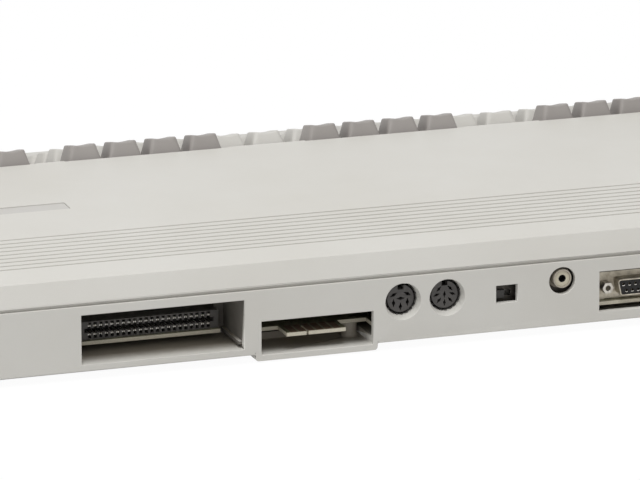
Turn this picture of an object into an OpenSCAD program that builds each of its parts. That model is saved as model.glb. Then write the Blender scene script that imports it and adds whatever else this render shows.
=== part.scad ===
// Home computer with built-in keyboard: a two-part case on rubber feet, a main board with its
// sockets along the rear and right edges, and a 92-key keyboard hung under the upper case.
// Axes: X to the user's right, Y from the user to the rear, Z up, in millimetres.
// The origin is at the centre of the case, at the level of the desk.
// "f" in a name is a distance forward from the rear face of the case.

/* [Case] */
// Width of the case beside the keys, at each side of a centred keyboard
side_margin = 17.35; // [16:0.05:20]
// Depth of the lip in front of the keys
lip_d = 36; // [33:1:40]
// Thickness of the case walls
wall = 2.5; // [2.2:0.1:2.8]
// Radius of the upright corners
corner_r = 5; // [3:0.5:7]
// Height of the rubber feet
foot_h = 3.5; // [3:0.5:4]
// Radius of the rubber feet
foot_r = 7.5; // [6:0.5:9]
// Height of the lower case's edge at the rear
seam_z = 32.3; // [31.8:0.1:33]
// Height of the lower case's edge at the front
seam_front_z = 9.3; // [9.2:0.1:9.6]
// Width of the shadow gap between the two halves
seam_gap = 1.4; // [0.8:0.1:1.6]
// Depth of the rim that the upper case puts inside the lower one
rim_drop = 2; // [1.6:0.1:2.1]

/* [Deck] */
// Distance from the rear face to the deck's front edge
deck_f = 172; // [171.8:0.1:172.4]
// Height of the deck's front edge over the lower rear edge of the keys
deck_over = 5; // [4.8:0.1:5.2]
// Fall of the deck towards the rear, in degrees
deck_slope = 2; // [1.8:0.1:2.2]
// Fall of the bezel around the keys, in degrees
bezel_slope = 15.3; // [15:0.1:15.5]
// Number of grooves across the deck
groove_n = 9; // [5:1:9]
// Distance from the rear face to the first groove
groove_f = 23; // [20:1:25]
// Distance between grooves
groove_pitch = 5.1; // [4.8:0.1:5.3]
// Depth of a groove
groove_depth = 0.5; // [0.4:0.1:1]
// Length of the recess for the nameplate and the lamp
badge_w = 73.7; // [70:0.1:76]
// Depth of the nameplate, front to rear
badge_d = 9.5; // [8:0.5:10]

/* [Keyboard] */
// Distance between key centres
pitch = 19.05; // [19:0.01:19.1]
// Tilt of the keyboard towards the user, in degrees
tilt = 14; // [13.9:0.1:14.1]
// Distance of the keyboard from the case's middle, to the right; less than 0 is to the left
keys_shift = -2.65; // [-3:0.05:-2]
// Gap between the keyboard's board and the floor of the case
key_floor_gap = 1.6; // [1.4:0.1:2]
// Extra distance between the top row and the number row
row_gap = 5.45; // [5.2:0.05:5.6]
// Gap between neighbouring keycaps
cap_gap = 0.95; // [0.8:0.05:1.2]
// Side of a keycap's top face
cap_top = 11.9; // [11.4:0.1:12.4]
// Wall thickness of a keycap
cap_wall = 1.3; // [1.1:0.1:1.5]
// Depth of the dish in a keycap
dish = 0.75; // [0.5:0.05:0.9]
// Travel of a key
travel = 3.6; // [3.2:0.1:3.7]
// Radius of a key's plunger
plunger_r = 3; // [2.8:0.1:3.2]
// Radial play of a plunger in its guide
plunger_play = 0.05; // [0.03:0.01:0.08]

/* [Main board] */
// Height of the main board's upper face
board_z = 11.4; // [11.2:0.1:11.6]
// Thickness of the main board
board_t = 1.6; // [1.4:0.1:1.8]
// Depth of the main board, front to rear
board_d = 196; // [190:1:200]

/* [Rear sockets] */
// Centre of the expansion slot
slot_x = 114; // [113.5:0.1:114.5]
// Distance between the slot's contacts
slot_pitch = 2.54; // [2.5:0.01:2.56]
// Contacts in one row of the slot
slot_n = 22; // [20:1:22]
// Centre of the cassette connector
tape_x = 44.4; // [44:0.1:44.8]
// Distance between edge contacts
edge_pitch = 3.96; // [3.9:0.01:4]
// Centre of the serial socket
serial_x = 5.6; // [5.2:0.1:6]
// Centre of the video socket
video_x = -14.6; // [-15:0.1:-14.2]
// Radius of the holes for the round sockets
din_hole_r = 8.1; // [8:0.1:8.3]
// Radius of the round sockets, over the teeth of their rings
din_r = 7; // [7:0.1:7.2]
// Centre of the channel switch
channel_x = -42.1; // [-42.5:0.1:-41.7]
// Travel of the channel switch
channel_travel = 3.5; // [3:0.1:3.6]
// Centre of the phono jack
phono_x = -68; // [-68.3:0.1:-67.7]
// Outer radius of the phono jack
phono_r = 4.15; // [4.05:0.05:4.25]
// Centre of the monitor connector
monitor_x = -102.6; // [-102.8:0.1:-102]
// Distance between the monitor connector's jack posts
post_pitch = 24.99; // [24.9:0.01:25.1]
// Distance of the user connector's centre from the left side of the case
user_inset = 52.5; // [52.3:0.1:53]

/* [Side sockets] */
// Distance of the power socket from the rear face
power_f = 32; // [31.5:0.5:32.5]
// Distance of the power switch from the rear face
switch_f = 58; // [57.5:0.5:58.5]
// Distance of the reset button from the rear face
reset_f = 80; // [79:0.5:81]
// Distance of the first control port from the rear face
port_f = 107; // [106.5:0.5:107]
// Distance between the two control ports
port_pitch = 35; // [34:0.5:35]
// Height of the side sockets' centres
side_z = 19; // [18.8:0.1:19.2]
// Tilt of the power rocker to each side, in degrees
rocker_tilt = 7; // [5:0.5:7]
// Travel of the reset button
reset_travel = 1.5; // [1:0.1:1.6]

/* [Hidden] */
$fn = 48;
eps = 0.01;

CASE_COLOUR = "#d6d5d0";
DARK_KEY = "#9e9995";
LIGHT_KEY = "#cfccc6";
PLASTIC = "#2c2b2a";
METAL = "#b5b3ad";
GOLD = "#c7a86a";
BOARD = "#7f8f6c";

// Block of the keys
keys_w = 16 * pitch;
pad_gap = 14.3;
pad_w = 4 * pitch;
cap_base = pitch - cap_gap;
keys_d = cap_base + 5 * pitch + row_gap;
deck_lap = 0.8;
keys_f = deck_f - deck_lap;

// Case outline
case_w = keys_w + pad_gap + pad_w + 2 * side_margin;
case_x = case_w / 2;
bezel_play = 2.53;
bezel_end_f = keys_f + keys_d * cos(tilt) + bezel_play;
lip_end_f = bezel_end_f + lip_d;
nose_d = 5;
case_d = lip_end_f + nose_d;
floor_t = 3;
floor_z = foot_h + floor_t;
lean = 4;
edge_drop = 0.83;
rear_chamfer = 4;
foot_round = 0.6;
lip_end_z = 14;
front_drop = 2.2;
seam_bend_f = deck_f - 7;
rim_out = 1.35;
rim_play = 0.15;
rim_floor_play = 0.2;
rim_root = 0.4;
groove_w = 1.3;
groove_bottom_w = 0.6;
far = 60;

// Screws
screw_r = 1.45;
bore_r = 1.5;
head_r = 2.8;
head_h = 2;
boss_r = 4.6;
head_play = 0.3;
screw_hole_r = 1.7;
case_screw_x = case_x - 7.5;
case_screw_f = [12, port_f + port_pitch + 21, case_d - 18];
// Height at which the halves meet at a screw, under the seam and over it at the front
mate_under = 2.3;
mate_over = 0.9;
head_under = 2;
case_screw_l = 8;
front_screw_l = 4;
bore_play = 1;
front_bore_play = 0.4;
board_screw_l = 4.4;
board_bore_l = 5;
keyboard_screw_l = 5.6;
foot_x = case_x - 25;
foot_f = [36, case_d - 30];

// Badge recess
badge_x = 124;
badge_f = 101;
badge_depth = 1;
badge_t = 0.8;
badge_play = 0.2;
lamp_w = 13;
lamp_x = badge_x + badge_w - lamp_w / 2 - 0.8;
lamp_stem_w = 10;
lamp_stem_d = 4;
lamp_h = 6;

// Keyboard: its own axes start at the rear lower edge of the top row's caps
keys_x = -(keys_w + pad_gap + pad_w) / 2;
pad_x = keys_x + keys_w + pad_gap;
rear_inset = 2;
opening_play = 0.9;
// Distance of each row's centre from the keyboard's rear, and the height of its caps
row_s = [for (i = [0:5]) cap_base / 2 + i * pitch + (i > 0 ? row_gap : 0)];
row_h = [11.9, 10.4, 8.7, 7.6, 7.6, 8.2];
plate_top = -4;
plate_t = 2;
plate_x = case_x - 8.7;
plate_over = 3;
plate_rear = 2;
plate_s = [-plate_rear, row_s[5] + cap_base / 2 + plate_over];
key_board_s = [1, row_s[5] + cap_base / 2 - 2];
stud_s = [row_s[0] - 6, row_s[5] + 2];
guide_top = 0.9;
guide_r = 4.1;
stud_r = 2.5;
stud_x = [-150, -80, 30, 150];
key_board_gap = 1.6;
key_board_t = 1.2;
key_board_top = plate_top - plate_t - key_board_gap;
key_board_back = key_board_top - key_board_t;
key_board_x = case_x - 17;
keys_z = floor_z + key_floor_gap + key_board_s[1] * sin(tilt) - key_board_back * cos(tilt);
deck_h = keys_z + deck_over;
contact_gap = 0.1;
plunger_end = key_board_top + travel + contact_gap;
post_x = case_x - 12;
post_r = 3.3;
post_s = [15, 62, 106];
middle_post_s = [33, 92];

// Main board
board_x = case_x - 15;
board_rear_f = 4;
root_f = 13.9;
tip_f = 2.3;
tape_w = 6 * edge_pitch + 3;
user_w = 12 * edge_pitch + 1.4;
board_screw_x = board_x - 12;
board_screw_f = board_rear_f + board_d - 10;
board_screw_at = [[board_screw_x, 14], [board_screw_x, board_screw_f], [-board_screw_x, 30],
                  [-board_screw_x, board_screw_f], [0, board_screw_f], [60, 36]];
standoff_r = 3.5;
tape_post = [24.5, 17];
tape_notch_x = 17.8;
key_slot_l = 8.6;
slot_edge_x = 82.6;
guide_play = 0.5;

// Cable from the keyboard's board down to a header on the main board
cable_x = 95 - case_x;
cable_f = board_screw_f;
cable_w = 50;
cable_t = 1.2;
header_d = 6;
header_h = 8;

// Parts on the main board
chip_h = 4;
chip_stand = 1;
long_chip = [52, 15.2];
medium_chip = [36, 15.2];
small_chip = [20, 7.6];
chip_f = [84, 112, 140];
chip_x = [-150, -85, -20, 45, 110];
logic_chip_x = 165;
memory_n = 16;
memory_x = -150;
memory_pitch = 12;
memory_f = board_screw_f - 14;
rom_x = [0, 30];
rom_f = 47;
// Electrolytic capacitors as [x, f, radius, height]
capacitors = [[172, 24, 6, 16], [172, 40, 5, 14], [158, 58, 4, 11], [172, 56, 4, 11],
              [-20, 44, 3.2, 9], [-100, 44, 4, 11], [-118, 44, 3.2, 9], [-136, 44, 3.2, 9],
              [100, 50, 3.2, 9], [120, 50, 3.2, 9], [140, 50, 3.2, 9]];
shield_x = board_x - 16;
shield_f = [68, 162];
shield_top = 24;
shield_t = 0.6;

// Rear openings
slot_open_x = [77.8, 150.3];
slot_open_z = [floor_z, 28.3];
tape_open_x = [19.25, 69.9];
tape_open_z = [3.3, 18.1];
tape_bump_x = [17.2, 72.6];
bump_margin = 2.2;
bump_z = 0.6;
bump_cut = 0.9;
bump_f = 25;
user_x = user_inset - case_x;
user_open_w = 62.6;
user_open_x = [user_x - user_open_w / 2, user_x + user_open_w / 2];
user_open_z = [3.3, 18.1];
channel_open = [9.8, 7.8];
channel_open_z = 20.2;
rf_hole_r = 6.05;
rf_hole_z = 23.7;
phono_z = 24.5;
monitor_open_w = 34.7;
monitor_open_z = [8.1, 26.1];
monitor_z = 17.7;
din_z = 21.1;
socket_z = 21.6;

// Slots in the floor
vent_n = 10;
vent_x = [-120, 40];
vent_f = 100;
vent_w = 3;
vent_l = 40;
vent_pitch = 9;

// Cartridge guide in the lower case
guide_f = 31;
guide_roof_z = 30;
rail_z = [8.2, 9.5];
rail_w = 1.5;
rail_end_f = 28;
// Where the right rail, the shorter one, starts
short_rail_f = 4;

// Expansion connector
slot_face_f = 19.9;
// How far the main board reaches out under the connector
slot_lip = 2;
slot_l = 62;
slot_h = 8;
slot_depth = 11;
slot_mid_z = 15.5;
slot_gap_z = 1.9;
slot_end = 2;
slot_cell = 1.5;
cell_h = 7;
cell_depth = 8;
contact_w = 1;
contact_t = 0.5;
contact_z = 1.9;
contact_back = 0.4;
slot_contact_x = [for (i = [0:slot_n - 1]) slot_x + (i - (slot_n - 1) / 2) * slot_pitch];

// Round sockets
din_face_f = 3.2;
din_body_f = 8;
din_body_d = 16;
din_body_w = 17.6;
din_body_top = 30.6;
ring_t = 0.35;
ring_l = 8.8;
ring_play = 0.05;
pin_hole_r = 0.8;
pin_circle_r = 3.65;
din_inset = 0.4;
// Gap between the face and the ring, for the shell of a plug
shell_gap = 0.6;
// Collars around the holes for the round sockets
din_collar_t = 0.9;
din_collar_l = 5.2;
// The collar narrows from the hole to a throat around the ring
din_throat_r = 7.25;
din_throat_f = 3;
din_lip = 0.3;
notch_w = 2.4;
notch_h = 1.6;
pin_hole_l = 6;
tooth_n = 18;
tooth_gap = 1.4;
tooth_l = 5.3;

// Modulator
can_x = [-79, -30];
can_f = [6, 60];
can_top = 30.5;
can_t = 0.8;
knob_w = 4;
knob_h = 3.4;
neck_h = 2.4;
knob_d = 2;
knob_z = channel_open_z - 1;
slide_play = 0.1;
face_play = 0.05;

// Phono jack
phono_f = 0.3;
phono_t = 0.65;
collar_t = 0.8;
core_back = 0.5;
core_hole_r = 1.65;

// Subminiature D connectors
d_w = [16.9, 13.9];
d_h = 8.4;
socket_h = 7.4;
d_t = 0.5;
d_round = 1.4;
d_pitch = 2.77;
d_row = 1.42;
flange_w = 30.8;
flange_h = 12.4;
flange_t = 0.8;
flange_hole_r = 1.6;
bracket_w = 3;
contact_root = 4;
hole_play = 0.1;
pin_l = 8.6;
hex_floor = 0.5;
shell_l = 6;
monitor_face_f = 7;
block_w = 22;
block_h = 10;
block_d = 8;
hex_r = 2.75;
hex_l = 5;
hex_bore_r = 1.2;
pin_r = 0.5;
pin_play = 0.03;
power_pin_r = 0.8;

// Side sockets
side_face_x = case_x - 0.2 - shell_l;
port_open = [32, 13.2];
power_open = [17, 14];
power_w = 16;
power_h = 13;
power_face_x = case_x - 1.2;
power_l = 16;
power_wall = 1.6;
power_well = 8;
power_pins = [[0, 3.2], [-4, 0.8], [4, 0.8], [-2.6, -3], [2.6, -3]];
power_pin_root = 9;
power_pin_l = 7.5;
switch_open = [21.6, 13];
switch_face_x = case_x - wall - 0.2;
switch_w = 24;
switch_l = 16;
rocker_half = 9.3;
rocker_h = 10.6;
rocker_x = switch_face_x - 3.3;
rocker_play = 1.4;
rocker_gap = 0.3;
rocker_depth = 11;
stub_r = 1.2;
stub_l = 1.4;
stub_play = 0.05;
// Half of the rocker's outline as [out of the case, along it], from its middle to its root
rocker_outline = [[3.2, 0], [4.2, rocker_half], [1.5, rocker_half], [-4, 4]];
reset_hole_r = 2.9;
reset_cap_r = 2.5;
reset_stem_r = 1.5;
reset_face_x = case_x - 7;
reset_w = 8;
reset_l = 9;
reset_tip_x = case_x - 0.6;

function yf(f) = case_d / 2 - f;
function at_front(f) = f > bezel_end_f;
function mate_z(f) = at_front(f) ? seam(f) + mate_over : seam(f) - mate_under;
function screw_head_z(f) = mate_z(f) - head_under;
function screw_length(f) = at_front(f) ? front_screw_l : case_screw_l;
function unit(v) = v / norm(v);
function deck_z(f) = deck_h - (deck_f - f) * tan(deck_slope);
function bezel_z(f) = deck_h - (f - deck_f) * tan(bezel_slope);
function seam(f) = f < seam_bend_f ? seam_z
    : f < bezel_end_f
        ? seam_z - (f - seam_bend_f) / (bezel_end_f - seam_bend_f) * (seam_z - seam_front_z)
        : seam_front_z;

// Points of an arc that rounds corner b, between its neighbours a and c
function fillet(a, b, c, r, n = 5) =
    let (u = unit(a - b), v = unit(c - b), half = acos(u * v) / 2,
         m = b + unit(u + v) * r / sin(half), s = b + u * r / tan(half) - m,
         e = b + v * r / tan(half) - m, from = atan2(s.y, s.x),
         sweep = (atan2(e.y, e.x) - from + 540) % 360 - 180)
    [for (i = [0:n]) m + r * [cos(from + sweep * i / n), sin(from + sweep * i / n)]];

// Outline of corners [x, y, radius]
function rounded(p) = [
    for (i = [0:len(p) - 1])
        let (a = p[(i + len(p) - 1) % len(p)], b = p[i], c = p[(i + 1) % len(p)])
        each b[2] > 0
            ? fillet([a[0], a[1]], [b[0], b[1]], [c[0], c[1]], b[2])
            : [[b[0], b[1]]]
];

// Groove corners across the deck, from the rear to the front
function grooves() = [
    for (i = [0:groove_n - 1])
        let (f = groove_f + i * groove_pitch)
        each [for (g = [[-groove_w, 0], [-groove_bottom_w, 1], [groove_bottom_w, 1], [groove_w, 0]])
            [f + g[0] / 2, deck_z(f + g[0] / 2) - g[1] * groove_depth, 0]]
];

// Upper outline of the upper case, set in by t, as corners [f, z, radius]
function roof(t, fine) = concat(
    [[t, seam_z - (t > 0 ? far : -seam_gap), 0], [lean + t, deck_z(lean) - edge_drop - t, 0],
     [lean + rear_chamfer + t, deck_z(lean + rear_chamfer) - t, 0]],
    fine ? grooves() : [],
    [[deck_f, deck_h - t, 0],
     [bezel_end_f, bezel_z(bezel_end_f) - t, 0],
     [lip_end_f - t, lip_end_z - t, 0],
     [case_d - t, lip_end_z - front_drop - t / 2, 0]]);

// Extrudes an outline drawn as [f, z] along X
module along_x(points, width = case_w) {
    rotate([90, 0, 90])
        linear_extrude(height = width, center = true)
            polygon([for (p = points) [yf(p[0]), p[1]]]);
}

// Upright block with the case's plan, set in all round
module plan(inset) {
    r = corner_r - inset;
    x = case_x - inset;
    y = case_d / 2 - inset;
    linear_extrude(height = far) {
        square([2 * (x - r), 2 * y], center = true);
        square([2 * x, 2 * (y - r)], center = true);
        for (i = [-1, 1], j = [-1, 1])
            translate([i * (x - r), j * (y - r)]) circle(r);
    }
}

module plan_ring(out, in) {
    difference() {
        plan(out);
        translate([0, 0, -eps]) plan(in);
    }
}

// Box between two corners given as [x, f, z]
module box(a, b) {
    translate([min(a.x, b.x), yf(max(a.y, b.y)), min(a.z, b.z)])
        cube([abs(b.x - a.x), abs(b.y - a.y), abs(b.z - a.z)]);
}

// Cylinder from f0 forward by l
module round_y(x, f, z, r, l) {
    translate([x, yf(f), z]) rotate([90, 0, 0]) cylinder(r = r, h = l);
}

// Cylinder from x inwards by l
module round_x(x, f, z, r, l) {
    translate([x, yf(f), z]) rotate([0, -90, 0]) cylinder(r = r, h = l);
}

module in_keyboard() {
    translate([keys_shift, yf(keys_f), keys_z]) rotate([tilt, 0, 0]) children();
}

// Band along the seam, between two heights over the lower case's edge
module seam_band(low, high) {
    edge = [0, seam_bend_f, bezel_end_f, case_d];
    along_x(concat([for (f = edge) [f, seam(f) + low]],
                   [for (i = [3:-1:0]) [edge[i], seam(edge[i]) + high]]));
}

module case_screw_places() {
    for (i = [-1, 1], f = case_screw_f)
        translate([i * case_screw_x, yf(f), 0]) children();
}

module lower_shell() {
    outer = [[0, foot_h, foot_round], [0, seam_z, 0], [seam_bend_f, seam_z, 0],
             [bezel_end_f, seam_front_z, 0], [case_d, seam_front_z, 0],
             [case_d, foot_h, foot_round]];
    inner = [[wall, floor_z, 0], [wall, far, 0], [case_d - wall, far, 0],
             [case_d - wall, floor_z, 0]];
    difference() {
        intersection() {
            plan(0);
            along_x(rounded(outer));
        }
        intersection() {
            plan(wall);
            along_x(inner);
        }
        intersection() {
            plan_ring(rim_out - rim_play, wall + eps);
            seam_band(-rim_drop - rim_floor_play, 1);
        }
    }
}

// Bump under an edge connector, where its plug needs room below the floor
module bump(x) {
    rotate([90, 0, 0])
        translate([0, 0, -case_d / 2])
            linear_extrude(height = bump_f)
                polygon([[x[0], foot_h + 1], [x[0], bump_z + bump_cut], [x[0] + bump_cut, bump_z],
                         [x[1] - bump_cut, bump_z], [x[1], bump_z + bump_cut],
                         [x[1], foot_h + 1]]);
}

// Room for a plug: the opening in the rear wall and the well in the bump
module plug_well(x, z) {
    rear_hole(x, z);
    box([x[0], wall, z[0]], [x[1], bump_f - wall, floor_z + 2]);
}

module cartridge_guide() {
    root = wall - 0.5;
    left = slot_open_x[0];
    right = slot_open_x[1];
    for (x = [left - wall, right])
        box([x, root, floor_z - 1], [x + wall, guide_f, guide_roof_z]);
    box([left, root, slot_open_z[1]], [right, guide_f, guide_roof_z]);
    box([left - 1, guide_f - wall, floor_z - 1], [slot_edge_x - guide_play, guide_f, guide_roof_z]);
    box([left - 1, root, rail_z[0]], [left + rail_w, rail_end_f, rail_z[1]]);
    box([right - rail_w, short_rail_f, rail_z[0]], [right + 1, rail_end_f, rail_z[1]]);
}

// Collar that hides the inside of the case around a round socket
module din_collar(x) {
    intersection() {
        round_y(x, wall - 0.5, din_z, din_hole_r + din_collar_t, din_collar_l + 0.5);
        box([x - far, 0, 0], [x + far, far, seam_z - rim_drop - rim_floor_play]);
    }
}

// Way in to a round socket
module din_way(x) {
    round_y(x, -1, din_z, din_hole_r, din_lip + 1);
    hull() {
        round_y(x, 0, din_z, din_hole_r, din_lip);
        round_y(x, din_throat_f, socket_z, din_throat_r, eps);
    }
    round_y(x, din_throat_f, socket_z, din_throat_r, wall + din_collar_l + 1 - din_throat_f);
}

module rear_hole(x, z) {
    box([x[0], -1, z[0]], [x[1], wall + 0.4, z[1]]);
}

module side_hole(f, size) {
    translate([case_x - wall / 2, yf(f), side_z])
        cube([wall + 2, size[0], size[1]], center = true);
}

module bottom_case() {
    color(CASE_COLOUR) {
        drilled_bottom();
        translate([tape_post[0], yf(tape_post[1]), tape_open_z[0] - 1])
            cylinder(r = standoff_r, h = board_z - board_t - tape_open_z[0] + 1);
    }
}

module drilled_bottom() {
    difference() {
        union() {
            lower_shell();
            bump(tape_bump_x);
            bump([user_open_x[0] - bump_margin, user_open_x[1] + bump_margin]);
            cartridge_guide();
            for (x = [serial_x, video_x]) din_collar(x);
            for (p = board_screw_at)
                translate([p[0], yf(p[1]), floor_z - 1])
                    cylinder(r = standoff_r, h = board_z - board_t - floor_z + 1);
            for (i = [-1, 1], f = case_screw_f)
                translate([i * case_screw_x, yf(f), foot_h + 0.5])
                    cylinder(r = boss_r, h = mate_z(f) - foot_h - 0.5);
        }
        rear_hole(slot_open_x, slot_open_z);
        plug_well(tape_open_x, tape_open_z);
        plug_well(user_open_x, user_open_z);
        rear_hole([monitor_x - monitor_open_w / 2, monitor_x + monitor_open_w / 2], monitor_open_z);
        rear_hole([channel_x - channel_open[0] / 2, channel_x + channel_open[0] / 2],
                  [channel_open_z - channel_open[1] / 2, channel_open_z + channel_open[1] / 2]);
        for (x = [serial_x, video_x]) din_way(x);
        round_y(phono_x + 0.2, -1, rf_hole_z, rf_hole_r, wall + 2);
        side_hole(power_f, power_open);
        side_hole(switch_f, switch_open);
        for (i = [0, 1]) side_hole(port_f + i * port_pitch, port_open);
        round_x(case_x + 1, reset_f, side_z, reset_hole_r, wall + 2);
        for (p = board_screw_at)
            translate([p[0], yf(p[1]), board_z - board_t - board_bore_l + 1])
                cylinder(r = bore_r, h = board_bore_l);
        for (i = [-1, 1], f = case_screw_f)
            translate([i * case_screw_x, yf(f), 0]) {
                cylinder(r = screw_hole_r, h = far);
                cylinder(r = head_r + head_play, h = screw_head_z(f));
            }
        vents();
    }
}

module vents() {
    for (i = [0:vent_n - 1], x = vent_x)
        box([x + i * vent_pitch, vent_f, 0],
            [x + i * vent_pitch + vent_w, vent_f + vent_l, floor_z + 1]);
}

// Opening around keys: from unit u0 to u1 of a block at x, between two rows
module key_opening(x, u0, u1, first, last) {
    s0 = row_s[first] - cap_base / 2 - opening_play;
    s1 = row_s[last] + cap_base / 2 + opening_play;
    x0 = x + u0 * pitch + cap_gap / 2 - opening_play;
    x1 = x + u1 * pitch - cap_gap / 2 + opening_play;
    translate([x0, -s1, -10]) cube([x1 - x0, s1 - s0, far]);
}

module key_openings() {
    in_keyboard() {
        for (u = [0, 6, 12]) key_opening(keys_x, u, u + 4, 0, 0);
        key_opening(pad_x, 0, 4, 0, 0);
        key_opening(keys_x, 0, 16, 1, 4);
        key_opening(keys_x, 3, 12, 4, 5);
        key_opening(pad_x, 0, 4, 1, 4);
    }
}

module keyboard_post_places() {
    for (i = [-1, 1], s = post_s) translate([i * post_x, -s, 0]) children();
    for (s = middle_post_s) translate([pad_x - pad_gap / 2, -s, 0]) children();
}

module badge_recess() {
    translate([badge_x, yf(badge_f + badge_d), deck_z(badge_f + badge_d) - badge_depth])
        rotate([-deck_slope, 0, 0])
            cube([badge_w, badge_d, 3]);
}

// Places children on the floor of the badge recess, in the lamp's middle
module at_lamp() {
    translate([lamp_x, yf(badge_f + badge_d / 2), deck_z(badge_f + badge_d / 2) - badge_depth])
        rotate([-deck_slope, 0, 0]) children();
}

module lamp_stem(grow) {
    at_lamp() translate([0, 0, -lamp_h / 2 + 0.5])
        cube([lamp_stem_w + grow, lamp_stem_d + grow, lamp_h + 1], center = true);
}

module top_case() {
    color(CASE_COLOUR)
    difference() {
        union() {
            difference() {
                intersection() {
                    plan(0);
                    along_x(concat(rounded(roof(0, true)),
                        [for (f = [case_d, bezel_end_f, seam_bend_f]) [f, seam(f) + seam_gap]]));
                }
                intersection() {
                    translate([0, 0, -1]) plan(wall);
                    along_x(concat(rounded(roof(wall, false)), [[case_d - wall, -far]]));
                }
                key_openings();
            }
            intersection() {
                plan_ring(rim_out, wall);
                seam_band(-rim_drop, seam_gap + rim_root);
            }
            intersection() {
                along_x(concat(rounded(roof(wall / 2, false)), [[case_d - wall / 2, -far]]));
                union() {
                    in_keyboard() keyboard_post_places()
                        translate([0, 0, plate_top]) cylinder(r = post_r, h = far);
                    for (i = [-1, 1], f = case_screw_f)
                        translate([i * case_screw_x, yf(f), mate_z(f)])
                            cylinder(r = post_r, h = far);
                }
            }
        }
        in_keyboard() keyboard_post_places()
            translate([0, 0, plate_top - 1]) cylinder(r = bore_r, h = keyboard_screw_l);
        for (i = [-1, 1], f = case_screw_f)
            translate([i * case_screw_x, yf(f), 0])
                cylinder(r = bore_r, h = screw_head_z(f) + screw_length(f)
                                     + (at_front(f) ? front_bore_play : bore_play));
        badge_recess();
        lamp_stem(2 * badge_play);
    }
}

module rubber_feet() {
    color(PLASTIC)
    for (i = [-1, 1], f = foot_f)
        translate([i * foot_x, yf(f), 0]) cylinder(r = foot_r, h = foot_h);
}

// Pan-head screw, head down, that starts under z and points up
module screw(l) {
    translate([0, 0, -head_h]) cylinder(r = head_r, h = head_h);
    translate([0, 0, -eps]) cylinder(r = screw_r, h = l);
}

module case_screws() {
    color(METAL)
    for (i = [-1, 1], f = case_screw_f)
        translate([i * case_screw_x, yf(f), screw_head_z(f)])
            screw(screw_length(f));
}

module nameplate() {
    color("#b9b6b0")
    translate([badge_x, yf(badge_f + badge_d), deck_z(badge_f + badge_d) - badge_depth])
        rotate([-deck_slope, 0, 0])
            translate([badge_play, badge_play, 0])
                cube([badge_w - lamp_w - 2, badge_d - 2 * badge_play, badge_t]);
}

module power_lamp() {
    color("#8e2f28")
    union() {
        lamp_stem(0);
        at_lamp() translate([-lamp_w / 2, badge_play - badge_d / 2, 0])
            cube([lamp_w, badge_d - 2 * badge_play, badge_t]);
    }
}

// Corners of the main board as [x, f], from the left rear corner to the right
function board_outline() = concat(
    [[-board_x, board_rear_f]],
    [[user_open_x[0] - 1, board_rear_f], [user_open_x[0] - 1, root_f],
     [user_x - user_w / 2, root_f], [user_x - user_w / 2, tip_f],
     [user_x + user_w / 2, tip_f], [user_x + user_w / 2, root_f],
     [user_open_x[1] + 1, root_f], [user_open_x[1] + 1, board_rear_f]],
    [[tape_notch_x, board_rear_f], [tape_notch_x, root_f],
     [tape_x - tape_w / 2, root_f], [tape_x - tape_w / 2, tip_f],
     [tape_x + edge_pitch - 0.5, tip_f], [tape_x + edge_pitch - 0.5, tip_f + key_slot_l],
     [tape_x + edge_pitch + 0.5, tip_f + key_slot_l], [tape_x + edge_pitch + 0.5, tip_f],
     [tape_x + tape_w / 2, tip_f], [tape_x + tape_w / 2, root_f],
     [slot_open_x[0] - wall - guide_play, root_f]],
    [[slot_open_x[0] - wall - guide_play, guide_f + guide_play],
     [slot_edge_x, guide_f + guide_play], [slot_edge_x, slot_face_f - slot_lip],
     [slot_open_x[1] - rail_w - guide_play, slot_face_f - slot_lip],
     [slot_open_x[1] - rail_w - guide_play, guide_f + guide_play],
     [slot_open_x[1] + wall + guide_play, guide_f + guide_play],
     [slot_open_x[1] + wall + guide_play, board_rear_f]],
    [[board_x, board_rear_f], [board_x, board_rear_f + board_d],
     [-board_x, board_rear_f + board_d]]);

module main_board() {
    color(BOARD)
    difference() {
        translate([0, 0, board_z - board_t])
            linear_extrude(height = board_t)
                polygon([for (p = board_outline()) [p[0], yf(p[1])]]);
        for (p = board_screw_at)
            translate([p[0], yf(p[1]), 0]) cylinder(r = screw_hole_r, h = far);
    }
}

// Chip in a dual in-line package, size [length, width], along X or along Y
module chip(x, f, size, lies) {
    translate([x, yf(f), board_z])
        rotate(lies ? 0 : 90) {
            translate([0, 0, chip_stand + chip_h / 2])
                cube([size[0], size[1] - 1.2, chip_h], center = true);
            for (i = [-1, 1])
                translate([0, i * (size[1] / 2 - 0.9), (chip_stand + 2) / 2])
                    cube([size[0] - 1, 0.5, chip_stand + 2], center = true);
        }
}

module board_chips() {
    color("#232323") {
        for (f = chip_f, x = chip_x) chip(x, f, long_chip, true);
        for (f = chip_f) chip(logic_chip_x, f, small_chip, false);
        for (i = [0:memory_n - 1]) chip(memory_x + i * memory_pitch, memory_f, small_chip, false);
        for (x = rom_x) chip(x, rom_f, medium_chip, false);
    }
}

module board_capacitors() {
    color("#35507a")
    for (c = capacitors)
        translate([c[0], yf(c[1]), board_z]) cylinder(r = c[2], h = c[3]);
}

module board_shield() {
    color(METAL)
    difference() {
        box([-shield_x, shield_f[0], board_z], [shield_x, shield_f[1], shield_top]);
        box([-shield_x + shield_t, shield_f[0] + shield_t, board_z - 1],
            [shield_x - shield_t, shield_f[1] - shield_t, shield_top - shield_t]);
    }
}

module board_screws() {
    color(METAL) {
        for (p = board_screw_at)
            translate([p[0], yf(p[1]), board_z]) rotate([180, 0, 0]) screw(board_screw_l);
        in_keyboard() keyboard_post_places()
            translate([0, 0, plate_top - plate_t]) screw(keyboard_screw_l);
    }
}

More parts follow.
